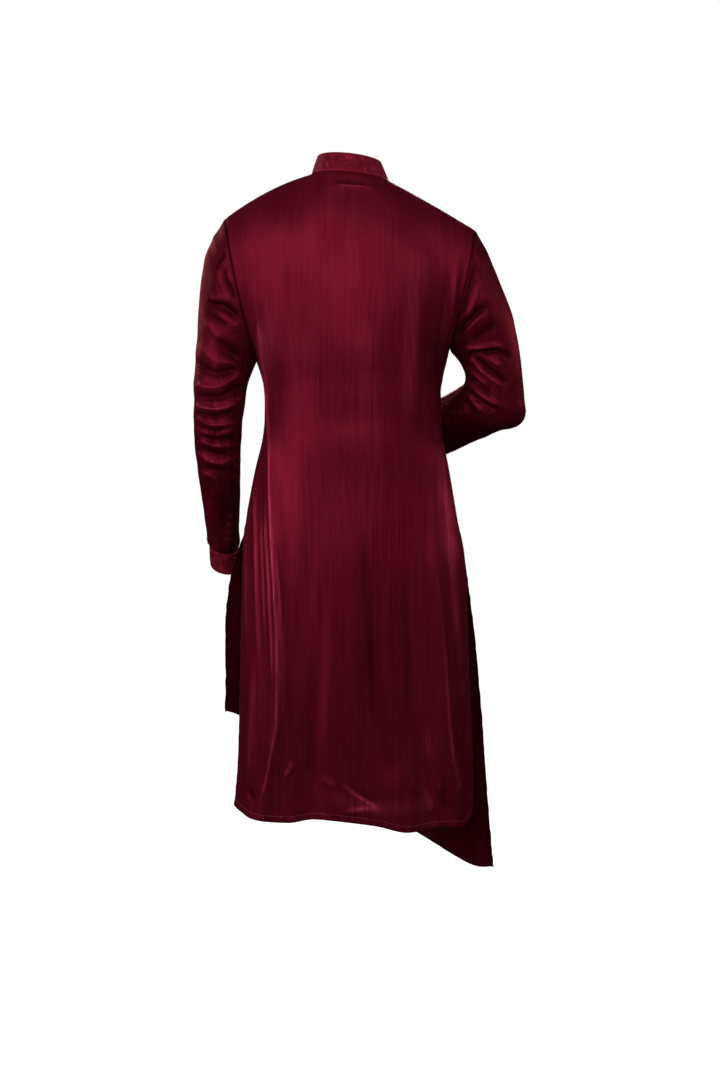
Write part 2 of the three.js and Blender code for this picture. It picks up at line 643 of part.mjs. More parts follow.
for (const [side, table] of [['left', SLEEVE_LEFT], ['right', SLEEVE_RIGHT]]) {
  const middle = sleeveRing(side, table, 5).centre;
  const wrist = sleeveRing(side, table, table.length - 1).centre;
  group.add(wall(`sleeve_${side}`, sleeveGrid(side, table), CLOTH, satin(`${side} sleeve satin`), middle));
  const cuff = cuffGrid(side, table);
  group.add(wall(`cuff_${side}`, cuff, BAND, band(`${side} cuff band`), wrist));
  for (const [level, share] of Object.entries(CUFF_BUTTONS.places)) {
    group.add(button(`cuff_button_${side}_${level}`, CUFF_BUTTONS.radius, onCuff(cuff, share)));
  }
}

const neckMiddle = new THREE.Vector3(NECK.x, 0, 0);
group.add(wall('collar_stand', collarGrid(), BAND, band('collar band'), neckMiddle));

const placket = placketGrid(grids.front);
group.add(wall('front_placket', placket, CLOTH, satin('placket satin'), bodyMiddle));
for (let i = 0; i < PLACKET_BUTTONS.count; i += 1) {
  const seat = onPlacket(placket, PLACKET_BUTTONS.topZ - PLACKET_BUTTONS.pitch * i);
  group.add(button(`placket_button_${i + 1}`, PLACKET_BUTTONS.radius, seat));
}

export default group;
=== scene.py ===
"""Asymmetric kurta in its worn shape: satin panels and sleeves, thread-worked bands, buttons and stitches.

Lengths in the tables are millimetres in the part's frame: +Z up, the front towards -Y, the wearer's left
towards +X, the origin at the base of the neck. Meshes are made in metres.
"""

import math
from collections import namedtuple

import bpy
import numpy as np
from bpy.props import FloatProperty, FloatVectorProperty, IntProperty, PointerProperty
from bpy.types import Operator, Panel, PropertyGroup
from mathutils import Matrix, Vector


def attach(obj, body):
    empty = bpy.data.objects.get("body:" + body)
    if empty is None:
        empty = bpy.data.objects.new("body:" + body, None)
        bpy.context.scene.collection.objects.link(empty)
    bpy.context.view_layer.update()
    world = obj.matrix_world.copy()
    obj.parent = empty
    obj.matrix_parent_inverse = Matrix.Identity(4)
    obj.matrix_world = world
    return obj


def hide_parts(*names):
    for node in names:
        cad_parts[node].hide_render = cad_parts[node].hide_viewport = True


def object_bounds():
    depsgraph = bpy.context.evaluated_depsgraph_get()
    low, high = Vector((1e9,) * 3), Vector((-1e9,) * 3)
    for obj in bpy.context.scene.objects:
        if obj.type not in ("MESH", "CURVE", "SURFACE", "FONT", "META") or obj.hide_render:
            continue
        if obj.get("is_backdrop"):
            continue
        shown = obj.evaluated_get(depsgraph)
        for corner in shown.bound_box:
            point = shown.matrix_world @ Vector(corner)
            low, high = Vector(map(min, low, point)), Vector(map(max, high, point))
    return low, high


bl_info = {
    "name": "Asymmetric Kurta",
    "version": (1, 0, 0),
    "blender": (4, 5, 0),
    "location": "View3D > Sidebar > Kurta",
    "description": "Dresses the worn kurta in satin, thread work, buttons and stitches",
    "category": "Object",
}

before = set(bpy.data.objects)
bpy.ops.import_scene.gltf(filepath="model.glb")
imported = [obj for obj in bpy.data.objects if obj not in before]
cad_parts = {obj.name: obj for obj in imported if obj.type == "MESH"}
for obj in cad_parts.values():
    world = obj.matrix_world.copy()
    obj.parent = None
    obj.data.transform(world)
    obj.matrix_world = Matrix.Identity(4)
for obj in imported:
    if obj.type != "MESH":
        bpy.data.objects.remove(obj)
CAD_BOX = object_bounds()

MM = 0.001
TINY = 1e-12           # keeps a division from failing where a length is 0
SIDES = {1: "left", -1: "right"}       # the wearer's, by the sign of x


# ---------------------------------------------------------------- cut of the garment

def table(columns, text):
    """Numbers of a text, its rows parted by commas, as one array for each of the named columns."""
    rows = np.array([row.split() for row in text.split(",")], float)
    return dict(zip(columns.split(), rows.T))


def crease_lines(text):
    """Creases, each as how sharp its crest is and its points: rows of x, z, height and half width. A line
    of the text is one crease, and goes on in the next after a comma: sharpness and half width, then the
    points. A height left out is 0, and a half width left out is that of the point before. A line without
    a comma is a heading."""
    lines = []
    for row in text.replace(",\n", ",").splitlines():
        head, *places = row.split(",")
        if not places:
            continue
        sharp, width = map(float, head.split())
        points = []
        for place in places:
            x, z, *rest = map(float, place.split())
            height, width = (*rest, *(0.0, width)[len(rest):])
            points.append((x, z, height, width))
        lines.append((sharp, np.array(points)))
    return lines


SEAM_Y = -8.0          # the upright plane of the shoulder and side seams
SLIT_TOP = -620.0      # height at which both side seams end

NECK = dict(x=3, half_width=68, back=66, front=72, left_z=6, right_z=-6, back_rise=2, front_drop=78)
NECK_SHARE = 3 / 11    # share of a panel's half width that the neck takes

# The waves of collar and cuffs are a height, a length along the band and a length up it.
COLLAR = dict(
    lift=33, front_lift=30, half_width=56, back=55, front=62, x=5, y=-4,
    front_gap=4.5, corner_radius=16, corner_cut=0.8, seam=0.6, tuck=3, wave=(0.8, 46, 40),
)

# Armholes: the shoulder tip, the underarm, the loop's reach back and forward, and the shoulder's arch.
ARMHOLE = {
    1: dict(tip_x=223, tip_z=-71, under_z=-329, back=80, front=70, arch=9),
    -1: dict(tip_x=-216, tip_z=-92, under_z=-306, back=74, front=68, arch=2),
}
ARMHOLE_SLANT = 1.25
ARMHOLE_GAP = 1.15
EDGE_SLANT = 3
EDGE_DEPTH = 4
FOLD_FADE = 1 / 8

# A row for each level: half width on the wearer's left and right, depth from the seam plane, how far the
# free edges stand off that plane, and squareness (2 is an ellipse).
SECTION = "z left right depth edge square"
BACK = table(SECTION, """
    -250 186 184 126 0 2.3, -310 175 172 125 0 2.3, -385 154 158 115 0 2.3, -450 156 159 107 0 2.3,
    -525 173 173 108 0 2.4, -620 189 190 119 0 2.4, -690 193 201 124 4 2.5, -830 196 204 128 12 2.6,
    -950 198 209 131 20 2.6, -1060 202 212 133 26 2.6, -1150 212 209 135 30 2.6
""")
FRONT = table(SECTION, """
    -250 186 184 110 0 2.3, -310 175 172 108 0 2.3, -385 154 158 97 0 2.3, -450 156 159 91 0 2.3,
    -525 173 173 92 0 2.4, -620 189 190 97 0 2.4, -690 213 202 100 4 2.4, -790 225 215 103 12 2.5,
    -880 225 224 106 18 2.5, -970 228 232 109 23 2.5, -1100 232 241 113 30 2.5, -1235 236 253 117 36 2.5
""")

# Height of the hem along the panel's width.
BACK_HEM = table("x z", """
    -210 -1126, -190 -1140, -150 -1138, -95 -1146, -40 -1134, 20 -1126, 65 -1123, 110 -1129, 175 -1124,
    200 -1112, 212 -1106
""")
FRONT_HEM = table("x z", """
    -254 -1222, -222 -1232, -186 -1219, -60 -1138, 60 -1058, 150 -1000, 208 -958, 230 -948
""")

# Large folds of the panels: the line that each follows down the cloth, its half width and its height.
FOLD = "z x width height"
BACK_FOLDS = [
    table(FOLD, """
        -240 168 14 0, -400 146 12 4, -520 142 13 7, -700 136 15 9, -880 128 17 10, -1050 145 20 9,
        -1160 168 22 9"""),
    table(FOLD, """
        -560 -132 14 0, -680 -145 15 6, -860 -161 16 9, -1060 -180 15 7, -1160 -186 15 6"""),
    table(FOLD, """
        -170 -150 26 0, -300 -142 24 -9, -420 -134 22 -5, -500 -132 20 0"""),
    table(FOLD, """
        -640 -24 26 0, -860 -36 28 -7, -1040 -62 32 -10, -1160 -70 34 -8"""),
    table(FOLD, """
        -700 66 24 0, -900 68 24 -6, -1160 72 30 -9"""),
]
FRONT_FOLDS = [
    table(FOLD, """
        -600 70 22 0, -800 40 26 9, -1000 -10 32 13, -1150 -60 36 14"""),
    table(FOLD, """
        -560 -110 20 0, -760 -122 24 9, -980 -134 28 12, -1240 -150 30 14"""),
    table(FOLD, """
        -600 140 18 0, -780 150 22 8, -1000 160 26 10"""),
]

# Sleeves, a row for each ring below the armhole: its outer point, its inner point and half its depth.
RING = "out_x out_y out_z in_x in_y in_z half"
SLEEVES = {
    1: table(RING, """
        246 -9 -104 174 -9 -337 78, 259 -9 -143 178 -9 -347 73, 267 -8 -195 182 -8 -358 68,
        273 -6 -255 186 -5 -374 63, 277 -3 -315 189 -1 -396 60, 280 0 -370 193 2 -424 57,
        280 0 -420 196 0 -455 55, 279 -6 -465 198 -8 -490 53, 275 -18 -510 199 -20 -527 51,
        270 -33 -555 200 -36 -566 48, 264 -50 -600 202 -53 -607 45, 257 -68 -648 205 -71 -656 41"""),
    -1: table(RING, """
        -238 -9 -128 -178 -9 -311 74, -256 -9 -170 -183 -9 -316 70, -274 -9 -216 -188 -9 -322 66,
        -288 -9 -262 -193 -11 -329 62, -297 -9 -310 -197 -13 -337 59, -303 -7 -355 -200 -17 -345 57,
        -305 -3 -392 -202 -23 -353 56, -304 3 -421 -203 -32 -360 55, -293 1 -441 -199 -44 -364 53,
        -266 -20 -446 -189 -60 -370 51, -237 -48 -458 -174 -78 -378 48, -204 -84 -472 -154 -104 -388 46,
        -170 -120 -486 -131 -137 -402 44, -135 -160 -500 -105 -170 -418 42,
        -112 -187 -508 -86 -195 -431 40"""),
}

CUFF = dict(
    height=39, seam=0.5, taper=0.98, run_back=0.4, overlap=0.35, ramp_start=4.9, lap=2.5, wave=(0.5, 30, 26),
)
VENT_ANGLE = math.radians(135)
VENT = dict(length=46, gap=4.0, reach=14, slope=1.6)

PLACKET = dict(
    reach=0.86 * NECK_SHARE / 5, lift=0.4, bottom_drop=1.5, wall=1.6, cloth=0.8, groove=0.35, groove_at=2.6,
    groove_width=0.9, wave=(0.3, 22, 30),
)
PLACKET_BUTTONS = dict(count=5, top_z=-100, pitch=78, radius=5.5, gap=0.3)
# The places of the cuffs' buttons are shares of the cuff's length and height.
CUFF_BUTTONS = dict(radius=4.2, along=21.5 / 22, upper=0.28, lower=0.74, gap=0.2)
# Shares of the radius are the flat part of the back and the slope of the dished face.
BUTTON = dict(height=2.4, flat=0.82, dish=0.8, slope=0.22, back_steps=9, rim_steps=12, face_steps=14)


# ---------------------------------------------------------------- creases of the cloth

# Creases of one piece lie on the face turned to +Y or to -Y. Each follows a line seen straight on, from
# point to point. A trough has a height below 0.

# The back hangs clear of the hollow above the waist.
BACK_SWELL = dict(z=-480, height=13, reach=118, rise=105)

BACK_CREASES = crease_lines("""
crest lines of the long ridge beside the left slit:
1.2 5, 171 -213, 160 -300 2.6 4, 149 -392 4.2 3.5, 144 -470 4 3, 142 -560 4.4, 139 -640 4.6, 134 -717 5,
129 -803 5, 128 -888 4.6, 130 -963 4, 147 -1057 3.6 3.5, 163 -1110 1.4 5
1.2 2.8, 152 -520, 149 -640 3.4 2.6, 143 -730 3.6, 139 -830 3, 136 -930 0 3
1.2 2.8, 134 -600, 125 -740 3 2.6, 120 -840 3.4, 119 -930 2.6, 122 -990 0 3
1.2 2.8, 160 -560, 158 -640 3 2.6, 153 -740 3.2, 149 -860 0 3
1.3 4, 170 -520, 170 -590 3.2 3.2, 168 -680 3, 165 -800 2 4, 163 -880 0 5
1.3 3, 182 -540, 185 -640 2.4, 184 -760 3 3.2, 184 -860 0 4
1.6 6, 176 -820, 174 -920 2, 178 -1010 2.2, 186 -1080 0 7
hollow between the left armhole and the ridge:
2 8, 186 -185, 184 -235 -4.5 9, 178 -290 -4 8, 168 -350 0 7
crest lines above the right slit:
1.3 5, -146 -677, -155 -767 1.5 4, -162 -856 2.2, -167 -946 3, -175 -1020 3.2, -186 -1066 2.4 5,
-184 -1090 1, -188 -1122
1.3 5, -146 -440, -150 -500 1.6 4, -154 -580 1.6, -160 -680 0 5
1.3 4, -158 -450, -163 -540 1.6, -170 -640 1.6, -176 -740 0 5
1.4 6, -136 -500, -141 -600 1.4, -146 -700 1.2, -152 -800
1.4 5, -176 -700, -184 -800 1.6, -190 -900 1.8, -196 -1010 0 6
drapes beside the right armhole:
1.5 6, -194 -120, -192 -180 -3, -184 -235 -3.5 7, -172 -300
1.5 6, -184 -140, -180 -200 2.4, -172 -260 2.2, -160 -320
1.6 8, -168 -180, -160 -250 -3, -152 -330 -3.5 9, -150 -430
under the collar:
1.5 4, 44 -19, 24 -20 -3.6 3.5, -8 -22 -4.2, -42 -26 0 4
1.5 4, 46 -26, 18 -28 3.2, -20 -30 3.4, -50 -34 0 5
hairlines in the middle of the back:
1.5 2.6, -8 -340, -30 -347 -0.5, -62 -351 -0.8 2.8, -80 -356 0 2.6
1.5 2.6, 24 -368, 6 -373 -0.7 2.8, -14 -381 0 2.6
1.5 2.6, 26 -409, 8 -412 0.6 2.8, -9 -411 0 2.6
1.5 2.6, 27 -437, 18 -446 -0.9, 11 -452
1.5 2.6, 14 -436, 7 -444 -0.7, 2 -449
1.5 2.6, 56 -438, 50 -448 0.5, 46 -462
1.5 2.6, -30 -388, -14 -392 0.4, 4 -390
soft hollows and swells down the skirt:
2 12, -92 -820, -94 -920 -3.4 11, -92 -1000 -2.6 12, -84 -1060
2 16, -58 -950, -64 -1030 -4 17, -70 -1075 0 15
2 18, -2 -560, -8 -700 2 16, -12 -860 2.6 14, -20 -1000
2 16, 60 -520, 66 -650 -1.8 14, 88 -800 -2.4, 96 -960
2 14, -120 -620, -126 -760 -2.6, -134 -900 -3.2, -140 -1060
2 10, 30 -700, 34 -820 1.6, 40 -960 2 11, 44 -1050
1.8 8, -110 -860, -116 -960 1.8, -124 -1040
creases near the hem:
1.3 4, 22 -1058, 8 -1070 2.4 3.5, -14 -1086 3.2, -34 -1098 2.4, -44 -1103 0 4
1.5 5, 10 -1060, -6 -1074 -2.8, -26 -1088 -3.4, -44 -1099
1.4 4, 20 -1113, -2 -1108 2.4 3.5, -30 -1106 2.6, -54 -1111 0 4
1.5 5, 60 -1050, 36 -1062 1.8, 16 -1064
1.2 3, 108 -1022, 105 -1034 4, 112 -1044 4.4, 118 -1054
1.3 3, 112 -1024, 111 -1036 -2.6, 118 -1047 -2.8, 123 -1054
1.4 3, -98 -1048, -104 -1064 2.2, -108 -1082
1.4 3, -120 -1062, -128 -1078 2.4, -132 -1100
1.4 3, -142 -1046, -150 -1070 2.4, -154 -1092
1.6 7, 182 -1058, 176 -1082 -3.2, 166 -1102
1.6 6, -126 -1075, -134 -1098 1.8, -140 -1124
1.6 7, -152 -1060, -158 -1095 -2.2, -160 -1124
1.6 7, 80 -1086, 88 -1104 1.6, 92 -1120 0 6
""")

# Painted light and shade: wider changes of tone, lighter or darker, that raise no crease.
BACK_PAINTED_TONES = crease_lines("""
2 14, -150 -500, -170 -590 2.6 15, -178 -740 2.2 13, -182 -880 0 12
2 18, 70 -1066, 20 -1088 2 20, -50 -1106 2.4, -120 -1100 1.8, -160 -1080 0 18
2 10, -16 -600, -24 -700 -2 11, -30 -860 -2.4 12, -40 -1010
2 10, -84 -640, -90 -760 -2, -96 -900 -2.2 11, -100 -1030 0 12
2 14, 62 -760, 66 -900 -1.8 16, 70 -1030 -1.8, 60 -1070 0 14
2 12, -150 -240, -150 -330 -2.4 13, -148 -430 0 12
2 10, 178 -190, 174 -240 -2 12, 160 -300 0 10
2 10, -120 -900, -132 -1000 2 11, -140 -1060 0 10
2 24, 148 -180, 150 -300 2.4 28, 146 -360 1.8 26, 140 -460 0 24
2 30, 70 -200, 76 -310 1.5 34, 70 -410 0 30
2 26, -20 -200, -24 -300 1.7 32, -28 -400 1.4 30, -30 -520 0 26
2 24, -112 -90, -114 -170 1.8 30, -102 -280 2.1 24, -100 -370 2.2, -90 -500 0 22
""")

FRONT_CREASES = crease_lines("""
drag lines from the left armhole and the chest:
1.5 7, 186 -200, 166 -238 2.6, 138 -262 0 8
1.5 7, 184 -232, 160 -272 -3 8, 128 -296
1.6 6, 172 -290, 150 -318 2.4, 118 -330
1.5 7, -180 -205, -162 -246 2.8, -134 -276 0 8
1.5 7, -176 -240, -152 -282 -3.2 8, -120 -300
1.6 6, -168 -292, -140 -322 2.2, -104 -332
1.5 8, 176 -140, 162 -185 -2.6, 150 -235 0 9
1.5 8, -174 -150, -160 -195 -2.6, -148 -240 0 9
soft lines round the waist:
1.7 6, 146 -392, 112 -404 2.2, 76 -402
1.7 6, 148 -440, 104 -456 -2.4 7, 62 -452
1.7 6, -150 -384, -116 -398 2.4, -72 -394
1.7 6, -152 -430, -110 -446 -2.4 7, -66 -448
1.5 4, -128 -470, -104 -480 1.2, -78 -478
1.5 5, 52 -500, 78 -510 1.4, 110 -502
crests of the fold that swings to the long corner:
1.4 6, 98 -560, 74 -660 2 5, 50 -760 2.6, 22 -880 3, -12 -1000 2.8, -44 -1090 0 6
1.5 7, 118 -600, 98 -720 -3, 66 -860 -3.6 8, 36 -980 -2.8, 24 -1050
1.5 7, 40 -600, 18 -720 -2.6, -14 -860 -3.6 8, -54 -1000 -3.4, -92 -1110
1.4 6, 0 -620, -24 -760 2 5, -58 -900 2.6 6, -96 -1040 2.6, -128 -1150
crests down the long side:
1.3 6, -112 -580, -120 -700 2 5, -128 -860 2.6, -138 -1020 2.8, -150 -1180 0 6
1.5 8, -150 -620, -160 -780 -3, -174 -960 -3.8 9, -190 -1160
1.4 6, -176 -640, -190 -780 2 5, -202 -930 2.6, -214 -1080 2.2 6, -222 -1190
1.5 8, -86 -640, -92 -800 -3, -106 -960 -3.2, -124 -1100
crests down the short side:
1.3 6, 148 -580, 154 -700 2.2 5, 160 -820 2.8, 166 -930 0 6
1.5 7, 180 -620, 186 -740 -2.8, 192 -860 -2.6 8, 196 -940
1.4 5, 206 -680, 212 -780 1.8, 214 -880
1.4 5, 120 -900, 104 -960 2, 88 -1010
1.4 5, -150 -1150, -176 -1180 2, -196 -1208
""")

LEFT_SLEEVE_BACK = crease_lines("""
1.4 6, 262 -120, 268 -170 2.2, 274 -226 2, 277 -270
1.4 5, 245 -100, 254 -140 1.8, 262 -190 2, 266 -236
1.3 4, 219 -139, 229 -146 -2.6, 236 -158 -2.2, 238 -175
1.3 4, 236 -164, 230 -190 2.6, 220 -214 2.6, 212 -232
1.4 4, 226 -160, 221 -185 -2.6, 210 -210 -2.6, 202 -226
1.3 4, 220 -168, 213 -188 2, 205 -204
1.3 5, 252 -218, 240 -222 2.8, 226 -221 2.2, 210 -232
1.5 6, 256 -222, 246 -228 -3.6, 226 -234 -5.2, 207 -247 -4.6, 195 -262
1.6 7, 262 -236, 246 -252 -1.6, 226 -262 -2.2, 208 -270
1.6 6, 240 -244, 222 -256 2.2 7, 206 -268 2.2, 196 -280 0 6
1.5 6, 258 -250, 250 -268 2, 236 -284 2.6, 228 -296
1.7 8, 240 -286, 222 -306 -3.6 9, 206 -318 -5 10, 190 -324
1.6 7, 272 -290, 258 -314 1.8, 236 -330 2.2, 214 -332 2, 198 -334
1.6 7, 276 -318, 262 -340 -2.4, 240 -352 -3, 214 -346 -3.4, 196 -340
1.4 5, 277 -366, 262 -373 3.2, 240 -376 3, 226 -372 3, 206 -358 3.4, 190 -346 0 6
1.6 6, 276 -384, 254 -393 -3.4, 228 -392 -3.6, 206 -378 -3.6, 192 -366
1.3 5, 278 -404, 262 -410 4 4.5, 240 -414 3.8, 222 -411 3.8, 206 -402 3.6, 190 -388 0 5
1.5 4, 276 -416, 256 -424 -3, 236 -426 -3.2, 216 -420 -3, 200 -412
1.3 4, 275 -425, 262 -434 2.8, 248 -441 3.6, 228 -441 3.6, 208 -437 2.4, 198 -433
1.5 4, 274 -440, 256 -448 -2.6, 236 -452 -3, 212 -446
1.3 4, 276 -445, 256 -453 2.6, 234 -457 2.8, 212 -451 2, 202 -447
1.5 4, 270 -458, 246 -466 -3, 222 -466 -3.2, 204 -460
1.3 4, 272 -466, 258 -471 3.2, 240 -477 3.6, 218 -477 3, 198 -472
1.5 4, 274 -477, 252 -487 -2.8, 230 -492 -2.8, 210 -486
1.3 4, 276 -484, 266 -494 2.6, 250 -503 3.6, 230 -508 3.6, 208 -499 2.6, 198 -493
1.5 4, 262 -508, 244 -518 -2.6, 226 -521 -2.8, 206 -512
1.4 4, 268 -520, 256 -527 2.2, 242 -533 1.4, 230 -535
1.4 3.5, 214 -505, 207 -511 2.4, 202 -520
1.4 3.5, 216 -524, 209 -530 2.4, 203 -538
1.3 4, 222 -596, 215 -602 3 3.5, 208 -604 0 4
1.3 4, 224 -612, 217 -616 3.4 3.5, 209 -615 0 4
1.3 4, 226 -624, 218 -630 3 3.5, 210 -632 0 4
1.3 4, 228 -636, 219 -642 3 3.5, 211 -648 0 4
1.8 8, 252 -556, 248 -590 1.8, 244 -630
1.8 8, 236 -548, 230 -590 -2, 228 -632
""")

LEFT_SLEEVE_FRONT = crease_lines("""
1.4 6, 262 -130, 264 -180 2, 266 -240
1.5 6, 240 -130, 226 -190 2.8, 204 -236
1.5 6, 250 -150, 238 -206 -3, 212 -258
1.5 6, 262 -226, 236 -262 2.8, 202 -290
1.6 7, 268 -262, 238 -296 -3.2, 200 -318
1.5 6, 272 -306, 240 -332 2.8, 200 -340
1.5 5, 276 -352, 242 -372 3.2, 204 -366
1.5 5, 276 -378, 240 -396 -3.6, 204 -388
1.4 5, 276 -398, 244 -412 3.8, 206 -404
1.4 4.5, 276 -420, 240 -438 3.4, 204 -428
1.5 4.5, 276 -436, 242 -452 -3.2, 206 -444
1.4 4.5, 276 -452, 240 -466 3.2, 208 -460
1.4 4.5, 272 -486, 240 -496 2.8, 210 -488
1.5 5, 266 -500, 236 -514 -2.6, 212 -508
1.5 5, 262 -532, 240 -540 2, 216 -538
1.7 7, 246 -560, 238 -600 1.8, 234 -640
""")

RIGHT_SLEEVE_BACK = crease_lines("""
folds that fan out from the underarm:
1.5 6, -226 -178, -219 -206 2.6, -208 -240 2.8, -198 -270
1.4 5, -216 -150, -210 -190 -2, -200 -230 -2.2, -192 -260
1.5 6, -238 -232, -222 -242 -3.8, -206 -258 -5.2, -190 -276 -4.4, -180 -292
1.5 6, -242 -242, -226 -252 2.8, -208 -268 3, -192 -286
1.7 7, -236 -204, -228 -222 2, -216 -240
1.8 8, -256 -256, -242 -272 -2.4, -224 -284 -2, -206 -296
crest above the bend of the arm:
1.3 4, -192 -306, -206 -307 2.6, -228 -306 3.8, -250 -303 3.4, -268 -304
1.4 4, -200 -313, -228 -313 -4 4.5, -252 -311 -4.2, -272 -318 -2.6, -282 -330 0 5
folds that fan out over the elbow:
1.4 4, -216 -308, -234 -322 2.2 4.5, -252 -334 3 5, -268 -340
1.4 4, -200 -317, -214 -328 3 4.5, -228 -345 3.6 5, -248 -362 3.6, -270 -382
1.4 4, -208 -317, -224 -330 -3 4.5, -240 -345 -3.4 5, -262 -360 -2.6, -276 -370
1.3 3.5, -198 -330, -210 -344 2.4 4, -222 -360 2.6, -238 -378
1.4 3.5, -202 -344, -218 -362 -2.8 4, -234 -380 -2.8, -250 -394
1.3 3.5, -200 -356, -212 -372 2.6 4, -230 -390 3.6, -248 -401 3.4, -266 -409 0 4.5
1.4 3.5, -204 -374, -222 -396 -3.2 4, -246 -410 -2.8, -262 -416
1.3 3.5, -202 -376, -210 -394 2.4, -224 -412 2.4 4, -240 -422
1.3 3.5, -200 -388, -206 -404 -2.2, -216 -420 -2.2, -228 -430
1.3 3.5, -196 -398, -200 -414 2.2, -208 -430
1.3 3.5, -188 -402, -192 -420 2, -200 -438
1.4 4, -178 -406, -182 -424 2, -188 -444
1.4 4, -166 -412, -170 -434 2, -174 -456
1.6 8, -262 -150, -278 -220 1.6, -290 -300 1.6, -296 -380
""")

RIGHT_SLEEVE_FRONT = crease_lines("""
1.5 6, -236 -150, -222 -200 2.8, -204 -240
1.5 6, -250 -176, -236 -226 -3.2, -212 -262
1.5 6, -266 -216, -246 -256 2.8, -216 -284
1.5 6, -276 -256, -254 -286 -3.2, -222 -302
1.4 5, -284 -290, -260 -308 3.4, -226 -316
1.4 5, -290 -320, -266 -332 -3.4, -232 -332
1.4 5, -292 -350, -268 -352 3.2, -238 -346
1.4 5, -290 -380, -262 -374 -3, -236 -360
1.4 5, -280 -410, -252 -396 3, -226 -374
1.4 5, -256 -430, -234 -410 2.8, -208 -384
1.5 5, -236 -446, -216 -424 -2.6, -192 -394
1.5 5, -206 -462, -190 -436 2.4, -172 -404
1.5 5, -172 -480, -160 -450 2, -146 -418
1.5 5, -142 -494, -132 -464 -2, -120 -432
""")

PANELS = {
    "back": dict(sections=BACK, hem=BACK_HEM, level=-1130, folds=BACK_FOLDS, spine=12, blade=30, facing=1,
                 seed=11, creases=BACK_CREASES, painted_tones=BACK_PAINTED_TONES, swell=BACK_SWELL),
    "front": dict(sections=FRONT, hem=FRONT_HEM, level=-1100, folds=FRONT_FOLDS, spine=8, blade=26,
                  facing=-1, seed=23, creases=FRONT_CREASES, painted_tones=[], swell=dict(BACK_SWELL, height=0)),
}
# Creases of each sleeve's back and front, and the seed of its waves.
SLEEVE_CREASES = {
    1: (LEFT_SLEEVE_BACK, LEFT_SLEEVE_FRONT, 37),
    -1: (RIGHT_SLEEVE_BACK, RIGHT_SLEEVE_FRONT, 51),
}


# ---------------------------------------------------------------- formulas on arrays

LATTICE = 64           # cells after which a drift repeats
SIDE_FADE = 0.25       # how far creases reach past the edge on, as a share of a unit normal


def mix(a, b, t):
    """From a to b as t goes from 0 to 1: a + (b - a)*t."""
    return a + (b - a) * t


def ease(t):
    """0 to 1 with level ends: 3t^2 - 2t^3."""
    t = np.clip(t, 0, 1)
    return t * t * (3 - 2 * t)


def curve(rows, column, by, at):
    """Smooth curve through one column of a table at places along another: a cubic between rows, whose
    slope at a row is the mean rate across it, and level at a high or a low."""
    x, y = rows[by], rows[column]
    if x[0] > x[-1]:
        x, y = x[::-1], y[::-1]
    rate = np.diff(y) / np.diff(x)
    slope = np.concatenate([rate[:1], (y[2:] - y[:-2]) / (x[2:] - x[:-2]), rate[-1:]])
    slope[1:-1][rate[:-1] * rate[1:] <= 0] = 0
    at = np.clip(at, x[0], x[-1])
    i = np.clip(np.searchsorted(x, at, side="right") - 1, 0, len(x) - 2)
    span = x[i + 1] - x[i]
    t = (at - x[i]) / span
    bend = slope[i] * span * t * (1 - t) ** 2 - slope[i + 1] * span * t * t * (1 - t)
    return mix(y[i], y[i + 1], ease(t)) + bend


def drift(x, y, seed):
    """Smooth irregular height from -1 to 1: random values on a unit lattice, eased between its corners."""
    size = LATTICE
    lattice = np.random.default_rng(seed).uniform(-1, 1, (size, size))
    i, j = np.floor(x).astype(int), np.floor(y).astype(int)
    s, t = ease(x - i), ease(y - j)
    corner = lambda a, b: lattice[a % size, b % size]
    return mix(mix(corner(i, j), corner(i + 1, j), s), mix(corner(i, j + 1), corner(i + 1, j + 1), s), t)


def falloff(off, width, power=2):
    """1 on a line and less beside it: exp(-(off/width)^power)."""
    return np.exp(-(off / width) ** power)


def crease(x, z, points, sharp):
    """Height of one crease. From the nearest point of its line, height falls off as exp(-(d/w)^sharp),
    with w and the height at that point taken from the line."""
    nearest = np.full(x.shape, np.inf)
    height = np.zeros(x.shape)
    for (x0, z0, h0, w0), (x1, z1, h1, w1) in zip(points[:-1], points[1:]):
        run_x, run_z = x1 - x0, z1 - z0
        t = np.clip(((x - x0) * run_x + (z - z0) * run_z) / (run_x ** 2 + run_z ** 2), 0, 1)
        off = np.hypot(x - x0 - t * run_x, z - z0 - t * run_z)
        here = mix(h0, h1, ease(t)) * falloff(off, mix(w0, w1, t), sharp)
        height = np.where(off < nearest, here, height)
        nearest = np.minimum(nearest, off)
    return height


def creases(points, normals, lines, facing):
    """Sum of the creases on the side that faces +Y (1) or -Y (-1), fading where the cloth turns away."""
    x, z = points[..., 0], points[..., 2]
    total = np.zeros(x.shape)
    for sharp, line in lines:
        total += crease(x, z, line, sharp)
    return total * ease((normals[..., 1] * facing / SIDE_FADE + 1) / 2)


def swell(points, form):
    """Height of a broad rise: height * exp(-(x/reach)^4) * exp(-((z - middle)/rise)^2)."""
    x, z = points[..., 0] / form["reach"], (points[..., 2] - form["z"]) / form["rise"]
    return form["height"] * np.exp(-x ** 4 - z ** 2)


def surface_normals(points, inside):
    """Unit normals of a grid: the cross product of its two directions, turned away from inside."""
    normals = np.cross(np.gradient(points, axis=1), np.gradient(points, axis=0))
    normals /= np.linalg.norm(normals, axis=-1, keepdims=True) + TINY
    return normals if np.sum(normals * (points - inside)) > 0 else -normals


def softened(points, share, passes):
    """Grid whose points move towards the mean of their two neighbours along the row, over and over, by a
    share of the way that is given for each point. The ends of a row stay."""
    points = points.copy()
    for _ in range(passes):
        mean = (points[:, :-2] + points[:, 2:]) / 2
        points[:, 1:-1] = mix(points[:, 1:-1], mean, share[:, 1:-1, None] / 2)
    return points


def spread(*pieces):
    """Places along a length from stretches (end, count) that start at 0."""
    places = [np.zeros(1)]
    start = 0.0
    for end, count in pieces:
        places.append(np.linspace(start, end, count + 1)[1:])
        start = end
    return np.concatenate(places)


